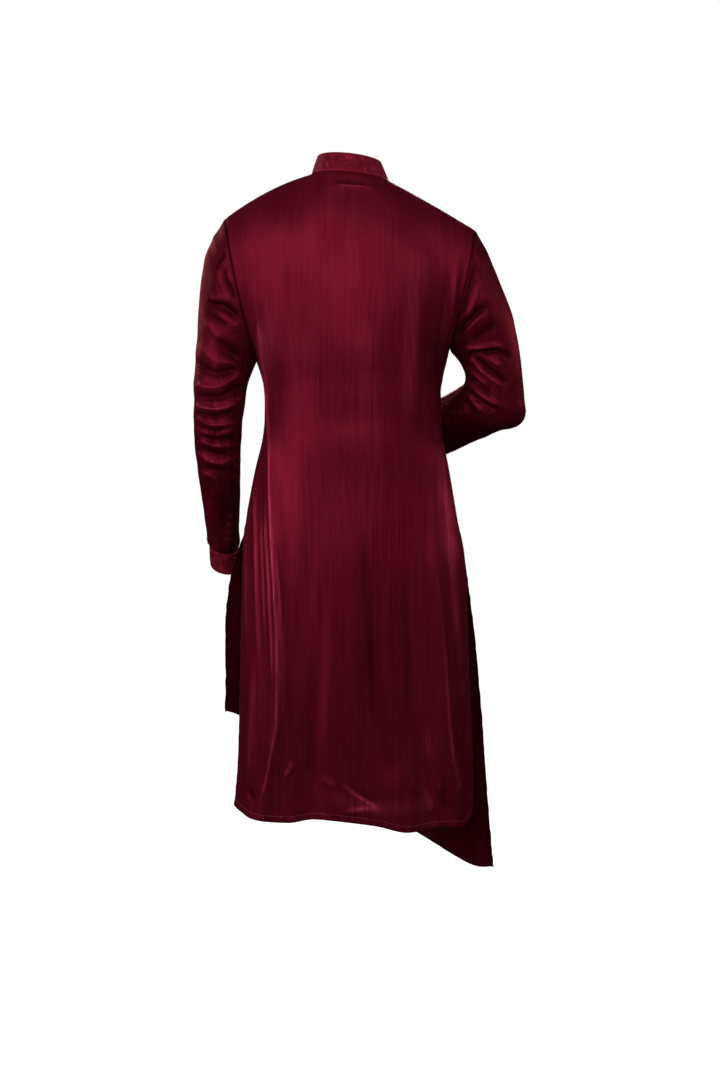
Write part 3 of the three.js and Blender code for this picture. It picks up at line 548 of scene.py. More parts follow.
def arc_lengths(points, axis):
    """Distance along the grid lines of one axis, from their start."""
    steps = np.linalg.norm(np.diff(points, axis=axis), axis=-1)
    pad = [(0, 0), (0, 0)]
    pad[axis] = (1, 0)
    return np.pad(np.cumsum(steps, axis=axis), pad)


# ---------------------------------------------------------------- form of the garment

def neck_seam(angle):
    """Oval of the neck: half_width*sin across, back or front*cos in depth, and a level that tilts to the
    wearer's right and drops in front. The angle is 0 at the nape and a quarter turn at the left."""
    across, rearward = np.sin(angle), np.cos(angle)
    depth = np.where(rearward >= 0, NECK["back"], NECK["front"])
    level = mix(NECK["right_z"], NECK["left_z"], (1 + across) / 2)
    drop = -NECK["front_drop"] * np.abs(rearward) ** 1.5
    rise = np.where(rearward >= 0, NECK["back_rise"] * rearward, drop)
    return np.stack([NECK["x"] + NECK["half_width"] * across, SEAM_Y + depth * rearward, level + rise], -1)


def shoulder_seam(side, t):
    """Straight line from the neck to the shoulder tip with a parabolic arch in its height."""
    hole = ARMHOLE[side]
    neck = neck_seam(np.array(side * math.pi / 2))
    x = mix(neck[0], hole["tip_x"], t)
    z = mix(neck[2], hole["tip_z"], t) + hole["arch"] * 4 * t * (1 - t)
    return np.stack([x, np.full_like(x, SEAM_Y), z], -1)


def armhole_loop(side, angle):
    """Loop whose height runs as a cosine from the tip to the underarm and whose depth runs as a sine."""
    hole = ARMHOLE[side]
    down = (1 - np.cos(angle)) / 2
    rearward = np.sin(angle)
    under_x = side * curve(BACK, "left" if side > 0 else "right", "z", hole["under_z"])
    x = mix(hole["tip_x"], under_x, down ** ARMHOLE_SLANT)
    y = SEAM_Y + np.where(rearward >= 0, hole["back"], hole["front"]) * rearward
    return np.stack([x, y, mix(hole["tip_z"], hole["under_z"], down)], -1)


def fold_height(folds, x, z):
    """Sum of the large folds, each exp(-(off/width)^2) across its line, and none above its first row."""
    total = np.zeros(np.broadcast(x, z).shape)
    for fold in folds:
        height = np.where(z > fold["z"][0], 0, curve(fold, "height", "z", z))
        total += height * falloff(x - curve(fold, "x", "z", z), curve(fold, "width", "z", z))
    return total


def panel_section(panel, share, z):
    """Point of a panel's level section: x = w sin^(2/n) and depth = edge + (d - edge) cos^(2/n)."""
    sections = panel["sections"]
    out = np.abs(share)
    side = np.where(share >= 0, curve(sections, "left", "z", z), curve(sections, "right", "z", z))
    power = 2 / curve(sections, "square", "z", z)
    turn = np.clip(out, 0, 1) * math.pi / 2
    edge = curve(sections, "edge", "z", z)
    reach = edge + (curve(sections, "depth", "z", z) - edge) * np.clip(np.cos(turn), 0, 1) ** power
    x = np.sign(share) * side * np.sin(turn) ** power
    fade = np.clip((1 - out) / FOLD_FADE, 0, 1)
    depth = reach + fade * fold_height(panel["folds"], x, z)
    y = SEAM_Y + panel["facing"] * depth
    return np.stack(np.broadcast_arrays(x, y, z), -1)


def panel_points(panel, share, drop):
    """Panel over share -1..1 (right edge to left edge) and drop 0..3: the shoulder seam, the underarm, the
    slit's top and the hem. Below the underarm it is level sections. Above, each line rolls from the seam
    by a quarter turn in the middle and by a half turn, as the armhole does, at the edge."""
    share, drop = np.broadcast_arrays(share, drop)
    out = np.abs(share)
    underarm = mix(ARMHOLE[-1]["under_z"], ARMHOLE[1]["under_z"], (1 + share) / 2)

    hem_x = panel_section(panel, share, np.full(share.shape, float(panel["level"])))[..., 0]
    hem_z = curve(panel["hem"], "z", "x", hem_x)
    skirt = panel_section(panel, share, mix(SLIT_TOP, hem_z, np.clip(drop - 2, 0, 1)))
    body = panel_section(panel, share, mix(underarm, SLIT_TOP, np.clip(drop - 1, 0, 1)))
    low = panel_section(panel, share, underarm)

    facing = panel["facing"]
    aside = math.pi / 2 * share / NECK_SHARE
    neck = neck_seam(aside if facing > 0 else math.pi - aside)
    along_shoulder = np.clip((out - NECK_SHARE) / (1 - NECK_SHARE), 0, 1)
    left, right = shoulder_seam(1, along_shoulder), shoulder_seam(-1, along_shoulder)
    shoulder = np.where((share >= 0)[..., None], left, right)
    top = np.where((out <= NECK_SHARE)[..., None], neck, shoulder)

    roll = np.clip(drop, 0, 1)
    half_turn = (1 - np.cos(roll * math.pi)) / 2
    reach = "back" if facing > 0 else "front"
    hole_depth = np.where(share >= 0, ARMHOLE[1][reach], ARMHOLE[-1][reach])
    blade = mix(panel["spine"], panel["blade"], ease(out / (2 * NECK_SHARE)))
    fullness = mix(blade, hole_depth, out ** EDGE_DEPTH)
    slant = out ** EDGE_SLANT
    to_x = mix(half_turn, half_turn ** ARMHOLE_SLANT, slant)
    to_y = np.sin(roll * math.pi / 2)
    to_z = mix(1 - np.cos(roll * math.pi / 2), half_turn, slant)
    yoke = np.stack([
        mix(top[..., 0], low[..., 0], to_x),
        mix(top[..., 1], low[..., 1], to_y) + facing * fullness * np.sin(roll * math.pi),
        mix(top[..., 2], low[..., 2], to_z),
    ], -1)
    zone = drop[..., None]
    return np.where(zone <= 1, yoke, np.where(zone <= 2, body, skirt))


# Grids, as columns and rows or as the steps of each zone. A panel's columns lie closer at the sides, and
# closest in the turned edges.
EDGE_STEPS = 7
MIDDLE_COLUMNS, SIDE_COLUMNS = 34, 60
YOKE_ROWS, BODY_ROWS, SKIRT_ROWS, LOW_ROWS = 46, 40, 54, 34
COLLAR_GRID, CUFF_GRID, PLACKET_GRID = (560, 42), (340, 46), (31, 210)
SLEEVE_RINGS, SLEEVE_SPOKES = 250, 152

HEM_BAND = 12.0        # depth of the turned hem and slit edges
SPACING_LEVEL = -850.0     # level of the section along which a panel's columns are spaced
LOW_SHARE = 0.24       # share of the skirt's drop that the close rows above the hem take
BODY_MIDDLE = (0, SEAM_Y, -500)
CLOTH_WALL, BAND_WALL = 0.9, 1.9

TONE_DEPTH = 4.0       # height of a crease at which the painted highlight on its cloth is strongest, or the painted shade below the surface
SLEEVE_RELIEF = 1.4    # factor on the heights of the sleeves' creases
SLEEVE_PAINTED_SHADE = 0.5     # painted shade on the sleeves between their crests, as a share of TONE_DEPTH
NARROW = 8.0           # half width above which a crease of a panel gets no painted light or shade

# Seams: half width, how sharp they are and how deep they lie.
SEAM = dict(width=3.0, sharp=1.3, panel=1.1, sleeve=0.9)
SLEEVE_SEAM = dict(width=2.4, sharp=1.4, depth=0.8)
# Painted shade beside the seams: its reach below the armhole, and its strength along the sleeve's seam.
SEAM_PAINTED_SHADE = dict(armhole=5, sleeve=0.7)

# A panel's yoke is smoothed, and waves less, over these drops. Its waves are a height, lengths across and
# down, and shifts across and down. Its seams pucker, and its turned edges are ruffled.
SOFT = dict(start=0.25, end=1.6, fade=0.6, rounds=60)
CALM = dict(share=0.3, start=0.8, run=1.4, top=0.4)
PANEL_WAVES = ((0.9, 34, 260, 0, 7), (0.3, 12, 120, 3, 0))
PUCKER = dict(height=0.55, length=9, width=30, reach=11)
HEM = dict(rise=0.45, edge=2.0, groove=0.35, groove_at=0.86 * HEM_BAND, groove_width=1.2)
# The tone entries of RUFFLE paint light and shade onto the ruffles of the turned edges.
RUFFLE = dict(height=0.8, place=4, reach=7, hem=8, slit=9, tone=0.5, tone_place=5, tone_reach=6)

# A sleeve's head is tucked inside the armhole's edge, and its waves are a height, a number round the sleeve,
# a length down it, and where and how far they reach.
SLEEVE_TUCK = dict(aside=2.5, inward=0.035, second=0.25)
SWING = dict(height=0.8, swing=1.4, shift=3, length=28, place=0, reach=math.inf)
RIPPLE = dict(height=0.4, count=14, length=14, place=0, reach=math.inf)
CAP_EASE = dict(height=0.8, count=26, length=30, place=0, reach=16)
SIDE_PUCKER = dict(height=0.7, count=2, length=8, place=0, reach=8)
GATHERS = dict(height=1.5, count=30, place=6, reach=14)
BLOUSING = dict(height=1.6, place=12, reach=12)
CUFF_DIP = dict(height=-0.6, length=5)

# Thread work: width of its lozenges, heights of ridges, knots and loose fibres, and how uneven they are.
THREAD_WORK = dict(lozenge=7.0, ridge=0.55, knot=0.6, worn=0.5, worn_size=0.8, fibre=0.25, fibre_size=0.9)
WORK_START = dict(edge=2.6, run=1.6, ground=0.25, work=0.75)
PIPING = dict(height=0.7, place=1.3, width=1.1)
WORK_PAINTED_LIGHT, PIPING_PAINTED_HIGHLIGHT = (2.2, 0.9), (1.2, 0.2)        # painted light on the thread work and painted highlight on the piping: factor on the height and what is taken from it

# Cloth of one piece: its outer face, its wall, its flat coordinates, a point or points inside it, its tone
# (painted light and shade) and its unit normals.
Cloth = namedtuple("Cloth", "outer wall flat inside tone normals")


def panel_shares(panel):
    """Shares of the columns, spaced by length on a section of the skirt: wider in the middle, closer at the
    sides and closest in the slit edges, with one line exactly at each neck point."""
    trial = np.linspace(0, 1, 400)
    section = panel_section(panel, trial, np.full(trial.shape, SPACING_LEVEL))
    length = arc_lengths(section[None, :, :], 1)[0]
    middle, band = length[-1] - HEM_BAND, length[-1]
    places = spread((middle * 0.5, MIDDLE_COLUMNS), (middle, SIDE_COLUMNS), (band, EDGE_STEPS))
    half = np.interp(places, length, trial)
    half[np.argmin(np.abs(half - NECK_SHARE))] = NECK_SHARE
    return np.concatenate([-half[:0:-1], half])


def panel_drops(panel, share):
    """Drops of the rows: even over each zone, closer above the hem and closest in it."""
    hem_x = panel_section(panel, share, np.full(share.shape, float(panel["level"])))[..., 0]
    skirt = SLIT_TOP - curve(panel["hem"], "z", "x", hem_x)
    above = spread((1, YOKE_ROWS), (2, BODY_ROWS))[:, None] + 0 * share
    band = (HEM_BAND / skirt)[None, :]
    run = spread((1 - LOW_SHARE, SKIRT_ROWS), (1, LOW_ROWS))[1:, None] * (1 - band)
    turned = 1 - band + np.linspace(0, 1, EDGE_STEPS + 1)[1:, None] * band
    return np.concatenate([above, 2 + run, 2 + turned])


def panel_cloth(name):
    """Cloth of a panel with its creases, hem and seams. Its tone is painted light and shade: the height of
    the creases and seams as a share of TONE_DEPTH, lighter on crests and darker in hollows and seams."""
    panel = PANELS[name]
    facing, seed = panel["facing"], panel["seed"]
    share = panel_shares(panel)
    drop = panel_drops(panel, share)
    share = np.broadcast_to(share, drop.shape)
    base = panel_points(panel, share, drop)
    smoothed = ease(drop / SOFT["start"]) * ease((SOFT["end"] - drop) / SOFT["fade"])
    base = softened(base, smoothed, SOFT["rounds"])
    normals = surface_normals(base, BODY_MIDDLE)
    across = arc_lengths(base, 1)
    across = across - across[:, across.shape[1] // 2, None]
    down = arc_lengths(base, 0)

    height = creases(base, normals, panel["creases"], facing) + swell(base, panel["swell"])
    narrow = [line for line in panel["creases"] if line[1][:, 3].mean() < NARROW]
    # Painted light and shade from the narrow creases and from the panel's painted tones.
    tone = creases(base, normals, narrow + panel["painted_tones"], facing) / TONE_DEPTH
    full = mix(CALM["share"], 1, ease((drop - CALM["start"]) / CALM["run"])) * ease(drop / CALM["top"])
    for size, wide, long, shift_x, shift_y in PANEL_WAVES:
        height += full * size * drift(across / wide + shift_x, down / long + shift_y, seed)
        seed += 1

    to_edge = np.minimum(across - across[:, :1], across[:, -1:] - across)
    to_hem = down[-1:, :] - down
    closed = drop < 2
    seam = np.maximum(
        np.where(closed, falloff(to_edge, SEAM["width"], SEAM["sharp"]), 0),
        falloff(down, SEAM["width"], SEAM["sharp"]))
    height -= SEAM["panel"] * seam
    pucker = PUCKER["height"] * drift(down / PUCKER["length"], across / PUCKER["width"], seed)
    height += np.where(closed, pucker * falloff(to_edge, PUCKER["reach"]), 0)

    open_edge = np.where(drop >= 2, to_edge, np.inf)
    free = np.minimum(open_edge, to_hem)
    turned = ease((HEM_BAND - free) / HEM["edge"] + 0.5)
    ruffle = np.where(to_hem < open_edge, drift(across / RUFFLE["hem"], down * 0 + 5, seed + 1),
                      drift(down / RUFFLE["slit"], across * 0 + 9, seed + 2))
    height += turned * HEM["rise"] - HEM["groove"] * falloff(free - HEM["groove_at"], HEM["groove_width"])
    height += RUFFLE["height"] * ruffle * falloff(free - RUFFLE["place"], RUFFLE["reach"])
    # Painted light and shade on the ruffles of the turned edges, and painted shade along the seams.
    tone += RUFFLE["tone"] * ruffle * falloff(free - RUFFLE["tone_place"], RUFFLE["tone_reach"]) - seam

    points = base + normals * height[..., None]
    flat = np.stack([across, -down], -1)
    wall = CLOTH_WALL * (1 + turned)
    return Cloth(points, wall, flat, BODY_MIDDLE, tone, surface_normals(points, BODY_MIDDLE))


def sleeve_rings(side, t):
    """Centre, half width and half depth vectors of a sleeve's rings at places t along its table."""
    rows = dict(SLEEVES[side], index=np.arange(len(SLEEVES[side]["half"]), dtype=float))
    place = lambda at, part: np.stack([curve(rows, f"{part}_{axis}", "index", at) for axis in "xyz"], -1)
    outer, inner = place(t, "out"), place(t, "in")
    before = place(t - 0.5, "out") + place(t - 0.5, "in")
    after = place(t + 0.5, "out") + place(t + 0.5, "in")
    across = (outer - inner) / 2
    depth = -side * np.cross(after - before, across)
    depth *= (curve(rows, "half", "index", t) / np.linalg.norm(depth, axis=-1))[..., None]
    return (outer + inner) / 2, across, depth


def ring_points(centre, across, depth, angle):
    """Ellipse points: centre + across*cos + depth*sin."""
    around = across[..., None, :] * np.cos(angle)[:, None] + depth[..., None, :] * np.sin(angle)[:, None]
    return centre[..., None, :] + around


def local_waves(wave, u, v, off, seed):
    """Uneven waves beside a line: height * drift(u, v) * exp(-((off - place)/reach)^2)."""
    return wave["height"] * drift(u, v, seed) * falloff(off - wave["place"], wave["reach"])


def sleeve_cloth(side):
    """Cloth of a sleeve: rings from the armhole loop to the last row of its table, a seam down the back of
    the arm that opens in a vent, creases, and gathers above the cuff."""
    t = np.linspace(-1, len(SLEEVES[side]["half"]) - 1, SLEEVE_RINGS)
    angle = VENT_ANGLE + np.linspace(0, 2 * math.pi, SLEEVE_SPOKES + 1)
    rings = ring_points(*sleeve_rings(side, np.clip(t, 0, None)), angle)
    loop = armhole_loop(side, angle) + np.array([side * ARMHOLE_GAP, 0, 0])
    base = mix(loop, rings, np.clip(1 + t, 0, 1)[:, None, None])
    tuck = mix(loop, loop.mean(axis=0), SLEEVE_TUCK["inward"])
    tuck[:, 0] -= side * SLEEVE_TUCK["aside"]
    base[0], base[1] = tuck, mix(loop, tuck, SLEEVE_TUCK["second"])
    middle = base.mean(axis=1, keepdims=True)
    normals = surface_normals(base, middle)
    around, down = arc_lengths(base, 1), arc_lengths(base, 0)
    to_cuff = down[-1:, :] - down
    seam = np.minimum(around, around[:, -1:] - around)
    lap = around / around[:, -1:]

    back, front, seed = SLEEVE_CREASES[side]
    height = SLEEVE_RELIEF * (creases(base, normals, back, 1) + creases(base, normals, front, -1))
    # Painted light and shade: lighter on the crests, darker between them and beside the armhole and sleeve
    # seams.
    tone = height / TONE_DEPTH - SLEEVE_PAINTED_SHADE - falloff(down, SEAM_PAINTED_SHADE["armhole"])
    tone -= SEAM_PAINTED_SHADE["sleeve"] * falloff(seam, SLEEVE_SEAM["width"])
    height -= SEAM["sleeve"] * falloff(down, SEAM["width"], SEAM["sharp"])
    height -= SLEEVE_SEAM["depth"] * falloff(seam, SLEEVE_SEAM["width"], SLEEVE_SEAM["sharp"])
    swing = np.sin(2 * math.pi * lap) * SWING["swing"] + SWING["shift"]
    height += local_waves(SWING, swing, down / SWING["length"], down, seed)
    height += local_waves(RIPPLE, lap * RIPPLE["count"], down / RIPPLE["length"], down, seed + 1)
    height += local_waves(CAP_EASE, lap * CAP_EASE["count"], down / CAP_EASE["length"], down, seed + 2)
    height += local_waves(
        SIDE_PUCKER, down / SIDE_PUCKER["length"], lap * SIDE_PUCKER["count"], seam, seed + 3)
    height += local_waves(GATHERS, lap * GATHERS["count"], 0 * down, to_cuff, seed + 4)
    height += BLOUSING["height"] * falloff(to_cuff - BLOUSING["place"], BLOUSING["reach"])
    height = mix(CUFF_DIP["height"], height, ease(to_cuff / CUFF_DIP["length"]))

    run = np.gradient(base, axis=1)
    run /= np.linalg.norm(run, axis=-1, keepdims=True)
    opened = VENT["gap"] / 2 * ease((VENT["length"] - to_cuff) / VENT["length"] * VENT["slope"])
    aside = np.where(lap < 0.5, opened, -opened) * falloff(seam, VENT["reach"])
    points = base + normals * height[..., None] + run * aside[..., None]
    flat = np.stack([around - around[:, -1:] / 2, -down], -1)
    return Cloth(points, np.full(height.shape, CLOTH_WALL), flat, middle, tone, normals)


def thread_work(u, v):
    """Relief of the bands: ridges of a lozenge trellis with a knot in each lozenge, uneven from one to the
    next. u and v run along and up the band."""
    form = THREAD_WORK
    a, b = (u + v) / form["lozenge"], (u - v) / form["lozenge"]
    ridge = np.maximum(np.abs(np.cos(math.pi * a)), np.abs(np.cos(math.pi * b))) ** 6
    knot = (np.sin(math.pi * a) ** 2 * np.sin(math.pi * b) ** 2) ** 1.5
    worn = 1 + form["worn"] * drift(a * form["worn_size"], b * form["worn_size"], 71)
    fibre = form["fibre"] * drift(u / form["fibre_size"], v / form["fibre_size"], 72)
    return (form["ridge"] * ridge + form["knot"] * knot) * worn + fibre


def band_cloth(base, inside, along, up, height, wave, seed):
    """Cloth of a band: thread work inside plain piped edges, on a ground with a slight wave. Its tone is
    painted
    light: above 0, a painted highlight, on knots and piping, and below 0, painted shade, in the hollows
    between them."""
    size, long, tall = wave
    normals = surface_normals(base, inside)
    edge = np.minimum(up, height - up)
    covered = ease((edge - WORK_START["edge"]) / WORK_START["run"])
    piping = PIPING["height"] * falloff(edge - PIPING["place"], PIPING["width"])
    work = thread_work(along, up)
    rise = size * drift(along / long, up / tall, seed) + piping
    rise += covered * (WORK_START["ground"] + WORK_START["work"] * work)
    points = base + normals * rise[..., None]
    # Painted light and shade on the thread work, then a painted highlight on the piping.
    bright, dark = WORK_PAINTED_LIGHT
    tone = covered * (bright * work - dark)
    bright, dark = PIPING_PAINTED_HIGHLIGHT
    tone = np.maximum(tone, bright * piping - dark)
    return Cloth(points, np.full(up.shape, BAND_WALL), np.stack([along, up], -1), inside, tone, normals)


def cuff_cloth(side):
    """Cuff: carries on from the sleeve's last ring and laps over itself beside the vent."""
    last = len(SLEEVES[side]["half"]) - 1
    centre, across, depth = sleeve_rings(side, np.array([last, last - CUFF["run_back"]], float))
    run = (centre[0] - centre[1]) / np.linalg.norm(centre[0] - centre[1])
    columns, rows = CUFF_GRID
    angle = np.linspace(0, 2 * math.pi + CUFF["overlap"], columns)
    down = np.linspace(0, 1, rows)[:, None, None]
    at = VENT_ANGLE - CUFF["overlap"] / 2 + angle
    spoke = across[0] * np.cos(at)[:, None] + depth[0] * np.sin(at)[:, None]
    reach = np.linalg.norm(spoke, axis=-1, keepdims=True)
    lapped = CUFF["lap"] * ease((angle - CUFF["ramp_start"]) / (2 * math.pi - CUFF["ramp_start"]))[:, None]
    size = mix(1, CUFF["taper"], down)
    base = centre[0] + spoke * (reach * size + lapped) / reach + run * (CUFF["seam"] + CUFF["height"] * down)
    along, up = arc_lengths(base, 1), arc_lengths(base, 0)
    cloth = band_cloth(base, base.mean(axis=(0, 1)), along, up, CUFF["height"], CUFF["wave"], 81 + side)
    return cloth._replace(flat=np.stack([along, -up], -1))


def collar_cloth():
    """Collar band: from the neck seam up to a smaller oval, with rounded front corners."""
    columns, rows = COLLAR_GRID
    gap = COLLAR["front_gap"] / NECK["half_width"]
    angle = np.linspace(-math.pi + gap, math.pi - gap, columns)
    up = np.linspace(1, -COLLAR["tuck"] / COLLAR["lift"], rows)[:, None]
    foot = neck_seam(angle)
    rearward = np.cos(angle)
    top = np.stack([
        COLLAR["x"] + COLLAR["half_width"] * np.sin(angle),
        COLLAR["y"] + np.where(rearward >= 0, COLLAR["back"], COLLAR["front"]) * rearward,
        foot[:, 2] + mix(COLLAR["front_lift"], COLLAR["lift"], (1 + rearward) / 2),
    ], -1)
    to_end = (math.pi - gap - np.abs(angle)) * NECK["half_width"]
    missing = np.clip(1 - to_end / COLLAR["corner_radius"], 0, None)
    sunk = 1 - np.sqrt(1 - COLLAR["corner_cut"] * missing * missing)
    rise = 1 - sunk * COLLAR["corner_radius"] / COLLAR["lift"]
    base = mix(foot, top, (up * rise)[..., None]) + np.array([0, 0, COLLAR["seam"]])
    height = arc_lengths(base[::-1], 0)[::-1] - COLLAR["tuck"]
    middle = (NECK["x"], 0, 0)
    return band_cloth(base, middle, arc_lengths(base, 1), height, height[:1, :], COLLAR["wave"], 91)


def placket_cloth():
    """Placket: the middle strip of the front, moved out, with turned edges."""
    columns, rows = PLACKET_GRID
    share = np.linspace(-PLACKET["reach"], PLACKET["reach"], columns)[None, :]
    drop = np.linspace(0, PLACKET["bottom_drop"], rows)[:, None]
    base = panel_points(PANELS["front"], share, drop)
    normals = surface_normals(base, BODY_MIDDLE)
    across, down = arc_lengths(base, 1), arc_lengths(base, 0)
    edge = np.minimum(np.minimum(across, across[:, -1:] - across), down[-1:, :] - down)
    size, long, wide = PLACKET["wave"]
    lift = PLACKET["lift"] + PLACKET["wall"] + size * drift(down / long, across / wide, 61)
    lift -= PLACKET["groove"] * falloff(edge - PLACKET["groove_at"], PLACKET["groove_width"])
    wall = np.full(across.shape, PLACKET["wall"] * PLACKET["cloth"])
    flat = np.stack([across, -down], -1)
    return Cloth(base + normals * lift[..., None], wall, flat, BODY_MIDDLE, None, normals)


# ---------------------------------------------------------------- meshes

SHARP_EDGE = math.radians(65)
BEAD_SIDES = 6
BEAD = ((-0.5, 0.25), (-0.3, 1.0), (0.3, 1.0), (0.5, 0.25))    # places along a stitch and its size there
STITCH_RADIUS = 0.5
SLIT_BAR = 7           # grid lines that the stitching of a slit's top runs past its edge band
PLACKET_STITCH = dict(side=2, end=6)       # grid lines between the placket's edges and its stitching


def linked(name, data):
    """New object in the scene, at the origin."""
    piece = bpy.data.objects.new(name, data)
    bpy.context.scene.collection.objects.link(piece)
    return piece


def mesh_object(name, vertices, faces, materials):
    """Smooth mesh from vertices in millimetres and faces as lists of corners."""
    mesh = bpy.data.meshes.new(name)
    mesh.from_pydata((vertices * MM).tolist(), [], faces)
    for material in materials:
        mesh.materials.append(material)
    mesh.polygons.foreach_set("use_smooth", np.ones(len(faces), bool))
    return linked(name, mesh)


def lay_flat(mesh, uv):
    """Gives a mesh the flat coordinates of its vertices, in millimetres."""
    corners = np.empty(len(mesh.loops), int)
    mesh.loops.foreach_get("vertex_index", corners)
    layer = mesh.uv_layers.new(name="cloth")
    layer.data.foreach_set("uv", (uv[corners] * MM).astype(np.float32).ravel())


def shell(name, cloth, materials):
    """Closed wall of cloth: the outer grid, the same grid moved in along its normals by the wall's
    thickness, and a rounded rim whose middle line stands out by a third of that thickness."""
    outer, wall = cloth.outer, cloth.wall
    rows, columns = outer.shape[:2]
    count = rows * columns
    normals = surface_normals(outer, cloth.inside)
    inner = outer - normals * wall[..., None]
    crossed = np.cross(np.gradient(outer, axis=1), np.gradient(outer, axis=0))
    order = slice(None) if np.sum(crossed * normals) < 0 else slice(None, None, -1)

    ids = np.arange(count).reshape(rows, columns)
    top = np.stack([ids[:-1, :-1], ids[1:, :-1], ids[1:, 1:], ids[:-1, 1:]], -1).reshape(-1, 4)[:, order]
    loop = np.concatenate([ids[0, :-1], ids[:-1, -1], ids[-1, :0:-1], ids[:0:-1, 0]])
    inward = np.concatenate([ids[1, :-1], ids[:-1, -2], ids[-2, :0:-1], ids[:0:-1, 1]])
    outer, inner = outer.reshape(-1, 3), inner.reshape(-1, 3)
    away = outer[loop] - outer[inward]
    away /= np.linalg.norm(away, axis=-1, keepdims=True)
    rim = (outer[loop] + inner[loop]) / 2 + away * wall.reshape(-1)[loop, None] / 3
    rim_ids = 2 * count + np.arange(len(loop))
    after, rim_after = np.roll(loop, -1), np.roll(rim_ids, -1)
    sides = np.concatenate([
        np.stack([loop, after, rim_after, rim_ids], -1),
        np.stack([rim_ids, rim_after, after + count, loop + count], -1),
    ])[:, order]

    faces = np.concatenate([top, top[:, ::-1] + count, sides])
    piece = mesh_object(name, np.concatenate([outer, inner, rim]), faces.tolist(), materials)
    mesh = piece.data
    uv = cloth.flat.reshape(-1, 2)
    lay_flat(mesh, np.concatenate([uv, uv, uv[loop]]))
    # Painted light and shade, stored as the tone attribute; the inner face takes it reversed.
    if cloth.tone is not None:
        tone = np.clip(cloth.tone, -1, 1).reshape(-1)
        tone = np.concatenate([tone, -tone, tone[loop]]).astype(np.float32)
        mesh.attributes.new("tone", "FLOAT", "POINT").data.foreach_set("value", tone)
    slots = np.zeros(len(faces), int)
    slots[len(top):2 * len(top)] = len(materials) - 1
    mesh.polygons.foreach_set("material_index", slots)
    mesh.set_sharp_from_angle(angle=SHARP_EDGE)
    mesh.update()
    return piece


def stitch_row(points, normals, pitch, length):
    """Row of sewn stitches along a path: short six-sided beads with tapered ends, half sunk in the cloth."""
    run = np.concatenate([[0], np.cumsum(np.linalg.norm(np.diff(points, axis=0), axis=1))])
    count = max(int(run[-1] / pitch), 1)
    at = (np.arange(count) + 0.5) * run[-1] / count
    pick = lambda values, places: np.stack([np.interp(places, run, values[:, k]) for k in range(3)], -1)
    centre, normal = pick(points, at), pick(normals, at)
    along = pick(points, at + length / 2) - pick(points, at - length / 2)
    along /= np.linalg.norm(along, axis=1, keepdims=True) + TINY
    side = np.cross(normal, along)
    side /= np.linalg.norm(side, axis=1, keepdims=True)
    normal = np.cross(along, side)

    corner = np.arange(BEAD_SIDES)
    turn = corner * 2 * math.pi / BEAD_SIDES
    ends, sizes = np.array(BEAD).T[:, :, None]
    ring = np.stack(np.broadcast_arrays(
        ends * length, sizes * np.cos(turn) * STITCH_RADIUS, sizes * np.sin(turn) * STITCH_RADIUS), -1)
    vertices = centre[:, None] + ring.reshape(-1, 3) @ np.stack([along, side, normal], 1)
    after = (corner + 1) % BEAD_SIDES
    sides = [np.stack([corner, after, after + BEAD_SIDES, corner + BEAD_SIDES], -1) + BEAD_SIDES * k
             for k in range(len(BEAD) - 1)]
    bead = np.concatenate([*sides, [(5, 4, 3, 2), (5, 2, 1, 0), (18, 19, 20, 21), (18, 21, 22, 23)]])
    faces = bead + BEAD_SIDES * len(BEAD) * np.arange(count)[:, None, None]
    return vertices.reshape(-1, 3), faces.reshape(-1, 4)


def sew(name, cloth, paths, trim, material):
    """One mesh from the rows of stitches along several paths, given as index pairs into a cloth's grid."""
    vertices, faces, start = [], [], 0
    for path in paths:
        row, beads = stitch_row(cloth.outer[path], cloth.normals[path], trim.pitch / MM, trim.stitch / MM)
        vertices.append(row)
        faces.append(beads + start)
        start += len(row)
    vertices = np.concatenate(vertices)
    piece = mesh_object(name, vertices, np.concatenate(faces).tolist(), [material])
    lay_flat(piece.data, vertices[:, [0, 2]])
    dressed(piece, "satin")


def dressed(piece, slot, *nodes):
    """Hangs a finished piece on the root body and hides the CAD nodes that it stands for. Its finish is not
    used.
    """
    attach(piece, "root")
    if nodes:
        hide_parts(*nodes)


def hang(name, cloth, materials, slot, node, **sheet):
    """Piece of hung cloth that stands for a CAD node."""
    piece = shell(name, cloth, materials)
    dressed(piece, slot, node)


# ---------------------------------------------------------------- shader expressions

class Socket:
    """An output of a shader node. Arithmetic on it adds Math nodes."""

    def __init__(self, shader, output):
        self.shader, self.output = shader, output

    def _math(self, operation, *values):
        return self.shader.node("ShaderNodeMath", {"operation": operation}, dict(enumerate(values)))

    def __add__(self, other):
        return self._math("ADD", self, other)

    def __mul__(self, other):
        return self._math("MULTIPLY", self, other)

    def __sub__(self, other):
        return self._math("SUBTRACT", self, other)

    def __rsub__(self, other):
        return self._math("SUBTRACT", other, self)

    __radd__, __rmul__ = __add__, __mul__

    def eased(self, low, high):
        """0 below low, 1 above high, smooth between."""
        sockets = {0: self, 1: low, 2: high, 3: 0.0, 4: 1.0}
        return self.shader.node("ShaderNodeMapRange", {"interpolation_type": "SMOOTHSTEP"}, sockets)


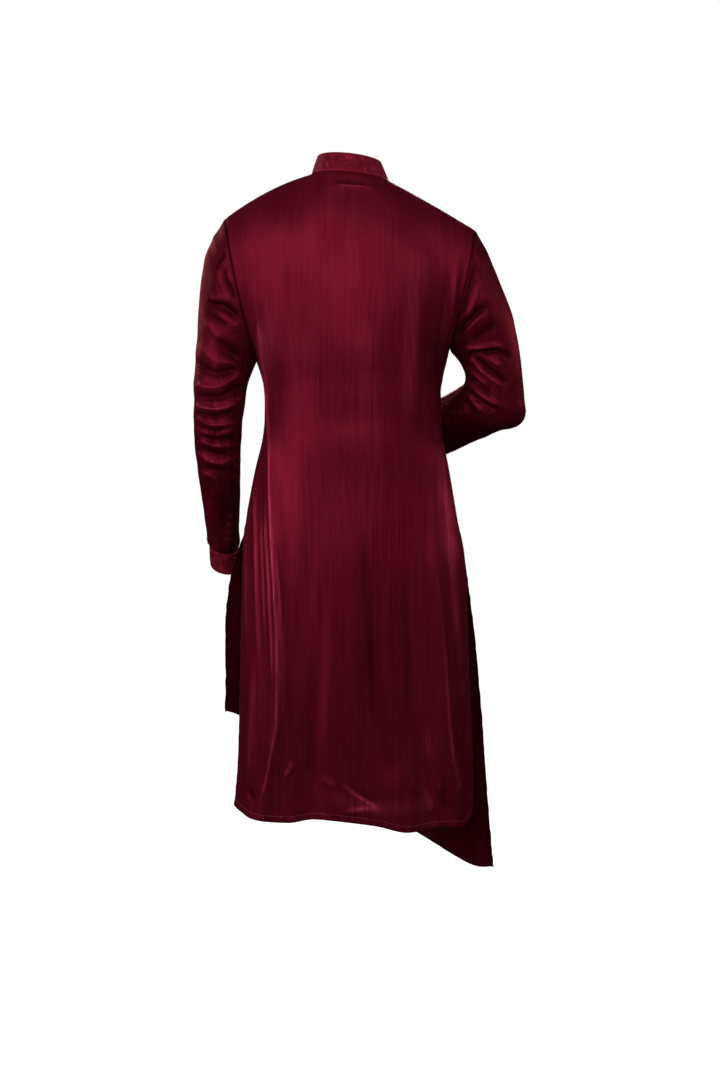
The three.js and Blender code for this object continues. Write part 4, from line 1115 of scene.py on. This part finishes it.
class Shader:
    """A material and its nodes."""

    def __init__(self, name):
        """New material with a principled surface."""
        self.material = bpy.data.materials.new(name)
        self.material.use_nodes = True
        self.tree = self.material.node_tree

    def set(self, socket, value):
        """Links a socket to an output, or gives it a value."""
        if isinstance(value, Socket):
            self.tree.links.new(value.output, socket)
        else:
            socket.default_value = value

    def node(self, kind, settings, sockets, output=0):
        """Adds a node: its settings first, then the values or links of its sockets."""
        node = self.tree.nodes.new(kind)
        for key, value in settings.items():
            setattr(node, key, value)
        for key, value in sockets.items():
            self.set(node.inputs[key], value)
        return Socket(self, node.outputs[output])

    def place(self):
        """Object coordinates in metres."""
        return self.node("ShaderNodeTexCoord", {}, {}, output=3)

    def relief(self):
        """The tone of the cloth, its painted light and shade: 1 on the highest crests and -1 in the deepest
        hollows.
        """
        return self.node("ShaderNodeAttribute", {"attribute_name": "tone"}, {}, output=2)

    def flat(self, across, along, shift=0.0):
        """The piece's flat coordinates in metres, scaled across and along the thread."""
        cloth = self.node("ShaderNodeUVMap", {"uv_map": "cloth"}, {})
        sockets = {0: cloth, 1: (across, along, 1.0), 2: (shift, shift, shift)}
        return self.node("ShaderNodeVectorMath", {"operation": "MULTIPLY_ADD"}, sockets)

    def noise(self, vector, detail, roughness=0.5, scale=1.0, distortion=0.0):
        """Cloudy noise around 0.5."""
        return self.node("ShaderNodeTexNoise", {}, {
            "Vector": vector, "Scale": scale, "Detail": detail, "Roughness": roughness,
            "Distortion": distortion})

    def blend(self, factor, first, second):
        """Colour between two others."""
        return self.node("ShaderNodeMix", {"data_type": "RGBA"}, {0: factor, 6: first, 7: second}, output=2)

    def bump(self, height, distance, strength, **under):
        """Normals of a relief: its height of 1 stands for a distance in metres."""
        sockets = {"Height": height, "Distance": distance, "Strength": strength, **under}
        return self.node("ShaderNodeBump", {}, sockets)

    def finish(self, **sockets):
        """Sets the surface's sockets, named in small letters, and returns the material."""
        surface = self.tree.nodes["Principled BSDF"]
        for name, value in sockets.items():
            self.set(surface.inputs[name.replace("_", " ").title().replace("Ior", "IOR")], value)
        return self.material


def shade(color, factor):
    """A colour made lighter or darker, with full alpha."""
    return (*(c * factor for c in tuple(color)[:3]), 1.0)


STREAK_DEPTH, WEAVE_DEPTH, THREAD_DEPTH, FIBRE_DEPTH = 0.0009, 0.00025, 0.0004, 0.0001     # metres
HORN_GRAIN = (160, 160, 900)
FIBRES = 2400.0
# Noise of the satin: cycles in a metre across and along the thread, shift, detail and roughness.
SATIN_NOISE = dict(
    patch=(7, 4, 6.0, 2.0, 0.5), broad=(42, 2.2, 0.0, 3.0, 0.6), streak=(210, 5.5, 4.0, 3.0, 0.65),
    slub=(520, 13, 11.0, 2.0, 0.6), grain=(330, 240, 5.0, 3.0, 0.7), thread=(1100, 60, 9.0, 2.0, 0.5),
    pick=(60, 700, 2.0, 1.0, 0.5),
)


def satin_material(name, cloth, reverse=False):
    """Satin: long warp streaks that vary the shade and the gloss, a fine weave, and a soft sheen. On the
    face, shade is painted into the hollows of creases and seams, and a highlight onto the crests. The
    reverse of the cloth is duller, and its colour is painted lighter to stand in for light that its inside
    does not get."""
    shader = Shader(name)
    patch, broad, streak, slub, grain, thread, pick = (
        shader.noise(shader.flat(*scales), detail, roughness)
        for *scales, detail, roughness in SATIN_NOISE.values())
    tone = (patch * 0.2 + broad * 0.15 + streak * 0.22 + slub * 0.2 + grain * 0.23).eased(0.34, 0.66)
    gloss = cloth.roughness + (streak - 0.5) * 0.2 + (slub - 0.5) * 0.12
    if reverse:
        # Painted light: the reverse is painted lighter than the face, standing in for light that the
        # garment's inside does not get.
        color = shader.blend(tone, shade(cloth.deep, 1.5), shade(cloth.bright, 1.3))
        gloss = gloss + 0.25
    else:
        relief = shader.relief()
        color = shader.blend(tone, shade(cloth.deep, 1.0), shade(cloth.bright, 1.0))
        # Painted shade: the hollows of the creases and seams are painted darker.
        color = shader.blend((0 - relief).eased(0.0, 1.0) * 0.75, color, shade(cloth.deep, 0.25))
        # Painted highlight: the crests of the creases are painted a lighter, paler colour, broken into
        # streaks.
        crest = relief.eased(0.2, 1.0) * (slub.eased(0.4, 0.6) * 0.55 + 0.4)
        color = shader.blend(crest, color, shade(cloth.painted_crest_colour, 1.0))
    weave = shader.bump(thread * 0.6 + pick * 0.4, WEAVE_DEPTH, 0.7)
    normal = shader.bump(streak * 0.4 + slub * 0.3 + grain * 0.3, STREAK_DEPTH, 0.6, Normal=weave)
    return shader.finish(
        base_color=color, roughness=gloss, normal=normal,
        metallic=0.0 if reverse else cloth.lustre, anisotropic=0.0 if reverse else cloth.anisotropy,
        sheen_weight=cloth.sheen, sheen_roughness=0.35, sheen_tint=(1.0, 0.03, 0.16, 1.0),
        specular_ior_level=0.05, specular_tint=(1.0, 0.12, 0.22, 1.0),
    )


def band_material(trim):
    """Thread work: twisted threads at a slant, dull, with painted shade in the hollows between raised
    threads and a painted highlight on knots and piping.
    """
    shader = Shader("thread_work")
    twist = shader.node(
        "ShaderNodeTexWave", {"wave_type": "BANDS", "bands_direction": "DIAGONAL"},
        {"Vector": shader.flat(1400, 1400), "Scale": 0.4, "Distortion": 2.5, "Detail": 1.0},
    )
    fleck = shader.noise(shader.flat(420, 420), 3.0, 0.6)
    relief = shader.relief()
    tone = (twist * 0.35 + fleck * 0.65).eased(0.3, 0.72)
    color = shader.blend(tone, shade(trim.band, 0.5), shade(trim.band, 1.1))
    # Painted shade in the hollows of the thread work.
    color = shader.blend((0 - relief).eased(0.0, 0.8) * 0.9, color, shade(trim.band, 0.08))
    # Painted highlight on the knots and the piping.
    color = shader.blend(relief.eased(0.1, 0.9) * 0.9, color, shade(trim.band, 2.7))
    return shader.finish(
        base_color=color, roughness=0.5 + fleck * 0.2,
        normal=shader.bump(twist * 0.5 + fleck * 0.5, THREAD_DEPTH, 0.7),
        sheen_weight=0.04, sheen_roughness=0.4, sheen_tint=(1.0, 0.2, 0.3, 1.0),
        specular_ior_level=0.08, specular_tint=(1.0, 0.2, 0.25, 1.0),
    )


def button_material(trim):
    """Polished horn-like button, clouded along its grain."""
    shader = Shader("horn")
    scaled = {0: shader.place(), 1: HORN_GRAIN}
    grain = shader.node("ShaderNodeVectorMath", {"operation": "MULTIPLY"}, scaled)
    cloud = shader.noise(grain, 4.0, 0.6, distortion=0.8)
    color = shader.blend(cloud.eased(0.35, 0.7), shade(trim.button, 0.7), shade(trim.button, 2.2))
    scratch = shader.bump(cloud, FIBRE_DEPTH, 0.3)
    return shader.finish(base_color=color, roughness=0.22 + cloud * 0.16, normal=scratch, coat_weight=0.3)


def thread_material(trim):
    """Sewing thread: fine fibres that slightly change its shade."""
    shader = Shader("sewing_thread")
    fibre = shader.noise(shader.place(), 2.0, scale=FIBRES)
    color = shader.blend(fibre, shade(trim.thread, 0.6), shade(trim.thread, 1.3))
    normal = shader.bump(fibre, FIBRE_DEPTH, 0.5)
    return shader.finish(base_color=color, roughness=0.5 + fibre * 0.15, normal=normal)


# ---------------------------------------------------------------- sizes and colours

class KurtaCloth(PropertyGroup):
    deep: FloatVectorProperty(
        name="Deep Shade", description="Colour of the satin where its threads lie away",
        subtype="COLOR", size=3, default=(0.094, 0.0026, 0.0120))
    bright: FloatVectorProperty(
        name="Bright Shade", description="Colour of the satin where its threads catch light",
        subtype="COLOR", size=3, default=(0.188, 0.0094, 0.0260))
    # Painted highlight: the colour painted onto the crests of the creases.
    painted_crest_colour: FloatVectorProperty(
        name="Crest Colour", description="Colour of the satin on the crests of its creases",
        subtype="COLOR", size=3, default=(0.42, 0.032, 0.075))
    roughness: FloatProperty(
        name="Roughness", description="Mean roughness of the satin face",
        min=0.1, max=0.9, default=0.41)
    anisotropy: FloatProperty(
        name="Anisotropy", description="How far highlights stretch across the thread",
        min=0.0, max=1.0, default=0.4)
    lustre: FloatProperty(
        name="Lustre", description="Share of the light that the thread reflects in its own colour",
        min=0.0, max=1.0, default=0.45)
    sheen: FloatProperty(
        name="Sheen", description="Soft light at the turned edges of the cloth",
        min=0.0, max=1.0, default=0.05)


class KurtaTrim(PropertyGroup):
    band: FloatVectorProperty(
        name="Band Colour", description="Colour of the thread work on collar and cuffs",
        subtype="COLOR", size=3, default=(0.2, 0.0085, 0.024))
    thread: FloatVectorProperty(
        name="Thread Colour", description="Colour of the topstitching",
        subtype="COLOR", size=3, default=(0.32, 0.035, 0.07))
    button: FloatVectorProperty(
        name="Button Colour", description="Ground colour of the buttons",
        subtype="COLOR", size=3, default=(0.022, 0.003, 0.005))
    stitch: FloatProperty(
        name="Stitch Length", description="Length of one sewn stitch",
        unit="LENGTH", min=0.001, max=0.006, default=0.0034)
    pitch: FloatProperty(
        name="Stitch Pitch", description="Distance from one stitch to the next",
        unit="LENGTH", min=0.0015, max=0.01, default=0.0052)
    sides: IntProperty(
        name="Button Sides", description="Points round a button's edge",
        min=16, max=96, default=40)


class KurtaStage(PropertyGroup):
    ground: FloatProperty(
        name="Ground Drop", description="How far the floor lies below the mount",
        unit="LENGTH", default=1.576)
    distance: FloatProperty(
        name="Camera Distance", description="How far behind the mount the camera stands",
        unit="LENGTH", default=4.25)
    eye: FloatProperty(
        name="Camera Drop", description="How far below the mount the camera stands",
        unit="LENGTH", default=0.642)
    aside: FloatProperty(
        name="Camera Aside", description="How far to the wearer's left the camera stands",
        unit="LENGTH", default=-0.014)
    lens: FloatProperty(
        name="Lens", description="Focal length of the camera",
        subtype="DISTANCE_CAMERA", default=80.0)
    brightness: FloatProperty(
        name="Light", description="Factor on the power of every light", min=0.0, default=1.0)
    glow: FloatProperty(
        name="Floor Glow", description="Brightness of the floor itself", min=0.0, default=1.3)
    sky: FloatProperty(
        name="Room Light", description="Brightness of the room", min=0.0, default=0.02)


# ---------------------------------------------------------------- pieces

class KURTA_OT_panels(Operator):
    """Back and front panel, each cut in one piece"""
    bl_idname = "kurta.panels"
    bl_label = "Panels"

    def execute(self, context):
        cloth = context.scene.kurta_cloth
        finish = [satin_material("satin_face", cloth), satin_material("satin_reverse", cloth, reverse=True)]
        for name, flat, area in (("back", (0.60, 1.19), 0.56), ("front", (0.62, 1.27), 0.53)):
            hang(f"{name}_cloth", panel_cloth(name), finish, "satin", f"{name}_panel", flat=flat, area=area)
        return {"FINISHED"}


def satin():
    """Face and reverse of the satin, made with the panels."""
    return [bpy.data.materials[name] for name in ("satin_face", "satin_reverse")]


class KURTA_OT_sleeves(Operator):
    """Both sleeves, cut in one piece each and seamed down the back of the arm"""
    bl_idname = "kurta.sleeves"
    bl_label = "Sleeves"

    def execute(self, context):
        for side, word in SIDES.items():
            hang(f"{word}_sleeve_cloth", sleeve_cloth(side), satin(), "satin", f"sleeve_{word}",
                 flat=(0.46, 0.63), area=0.158)
        return {"FINISHED"}


class KURTA_OT_bands(Operator):
    """Stand collar and cuffs, stiffened and covered with thread work"""
    bl_idname = "kurta.bands"
    bl_label = "Collar and Cuffs"

    def execute(self, context):
        finish = [band_material(context.scene.kurta_trim)]
        hang("collar_band", collar_cloth(), finish, "band", "collar_stand", flat=(0.39, 0.034))
        for side, word in SIDES.items():
            hang(f"{word}_cuff_band", cuff_cloth(side), finish, "band", f"cuff_{word}", flat=(0.26, 0.04))
        return {"FINISHED"}


class KURTA_OT_placket(Operator):
    """Button placket down the middle of the front"""
    bl_idname = "kurta.placket"
    bl_label = "Placket"

    def execute(self, context):
        hang("placket_strip", placket_cloth(), satin(), "satin", "front_placket", flat=(0.032, 0.42))
        return {"FINISHED"}


def button_mesh(name, place, direction, radius, sides, material):
    """Round button: a flat back, a rolled rim and a dished face, turned about its axis."""
    height, flat, dish = BUTTON["height"], BUTTON["flat"], BUTTON["dish"]
    turn = np.linspace(-math.pi / 2, math.pi / 2, BUTTON["rim_steps"])
    inward = np.linspace(flat, 0, BUTTON["face_steps"])
    profile = np.concatenate([
        np.stack([radius * np.linspace(0, flat, BUTTON["back_steps"]), np.zeros(BUTTON["back_steps"])], -1),
        np.stack([radius * mix(flat, 1, np.cos(turn)), height / 2 * (1 + np.sin(turn))], -1)[1:],
        np.stack([radius * inward, height - dish * ease((flat - inward) / BUTTON["slope"])], -1)[1:],
    ])[1:-1]
    angle = np.arange(sides) * 2 * math.pi / sides
    axis = direction / np.linalg.norm(direction)
    side = np.cross(axis, (0.0, 0.0, 1.0))
    side /= np.linalg.norm(side)
    up = np.cross(side, axis)
    spokes = side * np.cos(angle)[:, None] + up * np.sin(angle)[:, None]
    rings = place + profile[:, :1, None] * spokes[None] + profile[:, 1:, None] * axis
    vertices = np.concatenate([rings.reshape(-1, 3), [place], [place + axis * (height - dish)]])
    last = len(profile) * sides
    ids = np.arange(last).reshape(-1, sides)
    following = np.roll(ids, -1, axis=1)
    quads = np.stack([ids[:-1], ids[1:], following[1:], following[:-1]], -1).reshape(-1, 4)
    back = np.stack([ids[0], following[0], np.full(sides, last)], -1)
    face = np.stack([following[-1], ids[-1], np.full(sides, last + 1)], -1)
    return mesh_object(name, vertices, quads.tolist() + back.tolist() + face.tolist(), [material])


def button_seats():
    """CAD node, place, direction and radius of every button."""
    def seat(node, form, row, column):
        direction = cloth.normals[row, column]
        return node, cloth.outer[row, column] + direction * form["gap"], direction, form["radius"]

    cloth, form = placket_cloth(), PLACKET_BUTTONS
    middle = cloth.wall.shape[1] // 2
    for i in range(form["count"]):
        level = form["top_z"] - form["pitch"] * i
        row = int(np.argmin(np.abs(cloth.outer[:, middle, 2] - level)))
        yield seat(f"placket_button_{i + 1}", form, row, middle)
    form = CUFF_BUTTONS
    for side, word in SIDES.items():
        cloth = cuff_cloth(side)
        rows, columns = cloth.wall.shape
        for level in ("upper", "lower"):
            place = int(form[level] * (rows - 1)), round(form["along"] * (columns - 1))
            yield seat(f"cuff_button_{word}_{level}", form, *place)


class KURTA_OT_buttons(Operator):
    """Buttons of the placket and the cuffs"""
    bl_idname = "kurta.buttons"
    bl_label = "Buttons"

    def execute(self, context):
        trim = context.scene.kurta_trim
        material = button_material(trim)
        for node, place, direction, radius in button_seats():
            piece = button_mesh(f"{node}_turned", place, direction, radius, trim.sides, material)
            dressed(piece, "button", node)
        return {"FINISHED"}


class KURTA_OT_stitches(Operator):
    """Topstitching of hems, slits, slit tops and placket"""
    bl_idname = "kurta.stitches"
    bl_label = "Stitching"

    def execute(self, context):
        trim = context.scene.kurta_trim
        material = thread_material(trim)
        inset, slit = EDGE_STEPS - 1, YOKE_ROWS + BODY_ROWS + 1
        for name in PANELS:
            cloth = panel_cloth(name)
            rows, columns = cloth.wall.shape
            hem, left = rows - 1 - inset, columns - 1 - inset
            down = slice(slit, hem + 1)
            paths = [(hem, slice(inset, left + 1)), (down, left), (down, inset),
                     (slit, slice(left - SLIT_BAR, columns - 1)), (slit, slice(1, inset + SLIT_BAR + 1))]
            sew(f"{name}_stitches", cloth, paths, trim, material)
        cloth = placket_cloth()
        side, end = PLACKET_STITCH["side"], PLACKET_STITCH["end"]
        down = slice(end, -end)
        paths = [(down, side), (down, -1 - side), (-end, slice(side, -side))]
        sew("placket_stitches", cloth, paths, trim, material)
        return {"FINISHED"}


# Lamps: turn from +Y towards +X in degrees, distance, height, height of the aim, width, length, spread
# and power.
LAMPS = {
    "key": (-5, 1.7, 0.25, -0.2, 0.6, 0.6, 2.0, 1.75),
    "key_low": (4, 1.7, -0.05, -0.2, 0.6, 0.6, 2.0, 1.25),
    "near_left": (50, 1.7, -0.5, -0.75, 0.6, 0.9, 2.0, 2.2),
    "near_right": (-50, 1.7, -0.8, -0.8, 0.6, 0.6, 2.0, 0.5),
    "left_strip": (62, 3.1, 0.9, -0.3, 0.9, 2.4, math.pi, 26.0),
    "left_rear": (36, 2.8, 1.15, -0.45, 0.8, 0.8, math.pi, 12.0),
    "right_rear": (-36, 2.8, 1.15, -0.45, 0.8, 0.8, math.pi, 11.0),
    "right_strip": (-75, 2.8, 1.15, -0.45, 0.8, 2.2, math.pi, 13.0),
    "right_front": (-112, 3.1, 0.4, -0.45, 0.8, 0.8, math.pi, 7.5),
    "top": (-20, 0.6, 2.6, -0.45, 1.2, 1.2, math.pi, 6.0),
    "front_key": (186, 1.8, 0.3, -0.3, 0.6, 0.6, 2.0, 3.0),
    "front_left": (134, 3.0, 0.7, -0.45, 0.8, 1.2, math.pi, 12.0),
}
FLOOR_REACH = 40.0


class KURTA_OT_stage(Operator):
    """Floor, room, lights and camera"""
    bl_idname = "kurta.stage"
    bl_label = "Stage"

    def execute(self, context):
        scene, stage = context.scene, context.scene.kurta_stage
        corners = [(-1, -1), (1, -1), (1, 1), (-1, 1)]
        mesh = bpy.data.meshes.new("floor")
        mesh.from_pydata([(x * FLOOR_REACH, y * FLOOR_REACH, -stage.ground) for x, y in corners], [],
                         [(0, 1, 2, 3)])
        floor = linked("floor", mesh)
        shader = Shader("pale_floor")
        mottle = shader.noise(shader.place(), 3.0, scale=1.5)
        pale = shader.blend(mottle, (0.80, 0.79, 0.78, 1.0), (0.84, 0.83, 0.82, 1.0))
        mesh.materials.append(shader.finish(
            base_color=pale, roughness=0.85, specular_ior_level=0.1, emission_color=pale,
            emission_strength=stage.glow))
        floor.visible_diffuse = floor.visible_glossy = False
        floor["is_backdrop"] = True

        # The camera sees a white room, and the cloth is lit by a dim one.
        world = bpy.data.worlds.new("room")
        world.use_nodes = True
        nodes, links = world.node_tree.nodes, world.node_tree.links
        seen, lit = nodes.new("ShaderNodeBackground"), nodes["Background"]
        seen.inputs["Color"].default_value = (1.0, 1.0, 1.0, 1.0)
        lit.inputs["Color"].default_value = (1.0, 0.98, 0.97, 1.0)
        lit.inputs["Strength"].default_value = stage.sky
        path, either = nodes.new("ShaderNodeLightPath"), nodes.new("ShaderNodeMixShader")
        links.new(path.outputs["Is Camera Ray"], either.inputs[0])
        links.new(lit.outputs[0], either.inputs[1])
        links.new(seen.outputs[0], either.inputs[2])
        links.new(either.outputs[0], nodes["World Output"].inputs["Surface"])
        scene.world = world

        for name, (turn, distance, rise, aim, width, length, spread, power) in LAMPS.items():
            turn = math.radians(turn)
            light = bpy.data.lights.new(name, "AREA")
            light.shape, light.size, light.size_y = "RECTANGLE", width, length
            light.spread, light.energy = spread, power * stage.brightness
            lamp = linked(name, light)
            lamp.location = (distance * math.sin(turn), distance * math.cos(turn), rise)
            toward = Vector((0.0, 0.0, aim)) - lamp.location
            lamp.rotation_euler = toward.to_track_quat("-Z", "Y").to_euler()

        camera = linked("camera", bpy.data.cameras.new("camera"))
        camera.data.sensor_width = 36.0
        camera.data.lens = stage.lens
        camera.location = (stage.aside, stage.distance, -stage.eye)
        camera.rotation_euler = (math.pi / 2, 0.0, math.pi)
        scene.camera = camera
        scene.view_settings.view_transform = "Standard"
        return {"FINISHED"}


class KURTA_PT_panel(Panel):
    """Sizes and colours of the kurta, and a button for each group of pieces"""
    bl_idname = "KURTA_PT_panel"
    bl_label = "Asymmetric Kurta"
    bl_space_type = "VIEW_3D"
    bl_region_type = "UI"
    bl_category = "Kurta"

    def draw(self, context):
        for group in (context.scene.kurta_cloth, context.scene.kurta_trim, context.scene.kurta_stage):
            box = self.layout.box()
            for name in group.__annotations__:
                box.prop(group, name)
        for operator in OPERATORS:
            self.layout.operator(operator.bl_idname)


GROUPS = {"kurta_cloth": KurtaCloth, "kurta_trim": KurtaTrim, "kurta_stage": KurtaStage}
OPERATORS = (
    KURTA_OT_panels, KURTA_OT_sleeves, KURTA_OT_bands, KURTA_OT_placket, KURTA_OT_buttons,
    KURTA_OT_stitches, KURTA_OT_stage,
)


def register():
    for cls in (*GROUPS.values(), *OPERATORS, KURTA_PT_panel):
        bpy.utils.register_class(cls)
    for name, group in GROUPS.items():
        setattr(bpy.types.Scene, name, PointerProperty(type=group))


def unregister():
    for name in GROUPS:
        delattr(bpy.types.Scene, name)
    for cls in (KURTA_PT_panel, *reversed(OPERATORS), *reversed(GROUPS.values())):
        bpy.utils.unregister_class(cls)


def main():
    register()
    for operator in OPERATORS:
        group, name = operator.bl_idname.split(".")
        getattr(getattr(bpy.ops, group), name)()
    boxes = {"cad": [list(map(float, corner)) for corner in CAD_BOX],
             "visual": [list(map(float, corner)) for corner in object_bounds()]}


if __name__ == "__main__":
    main()
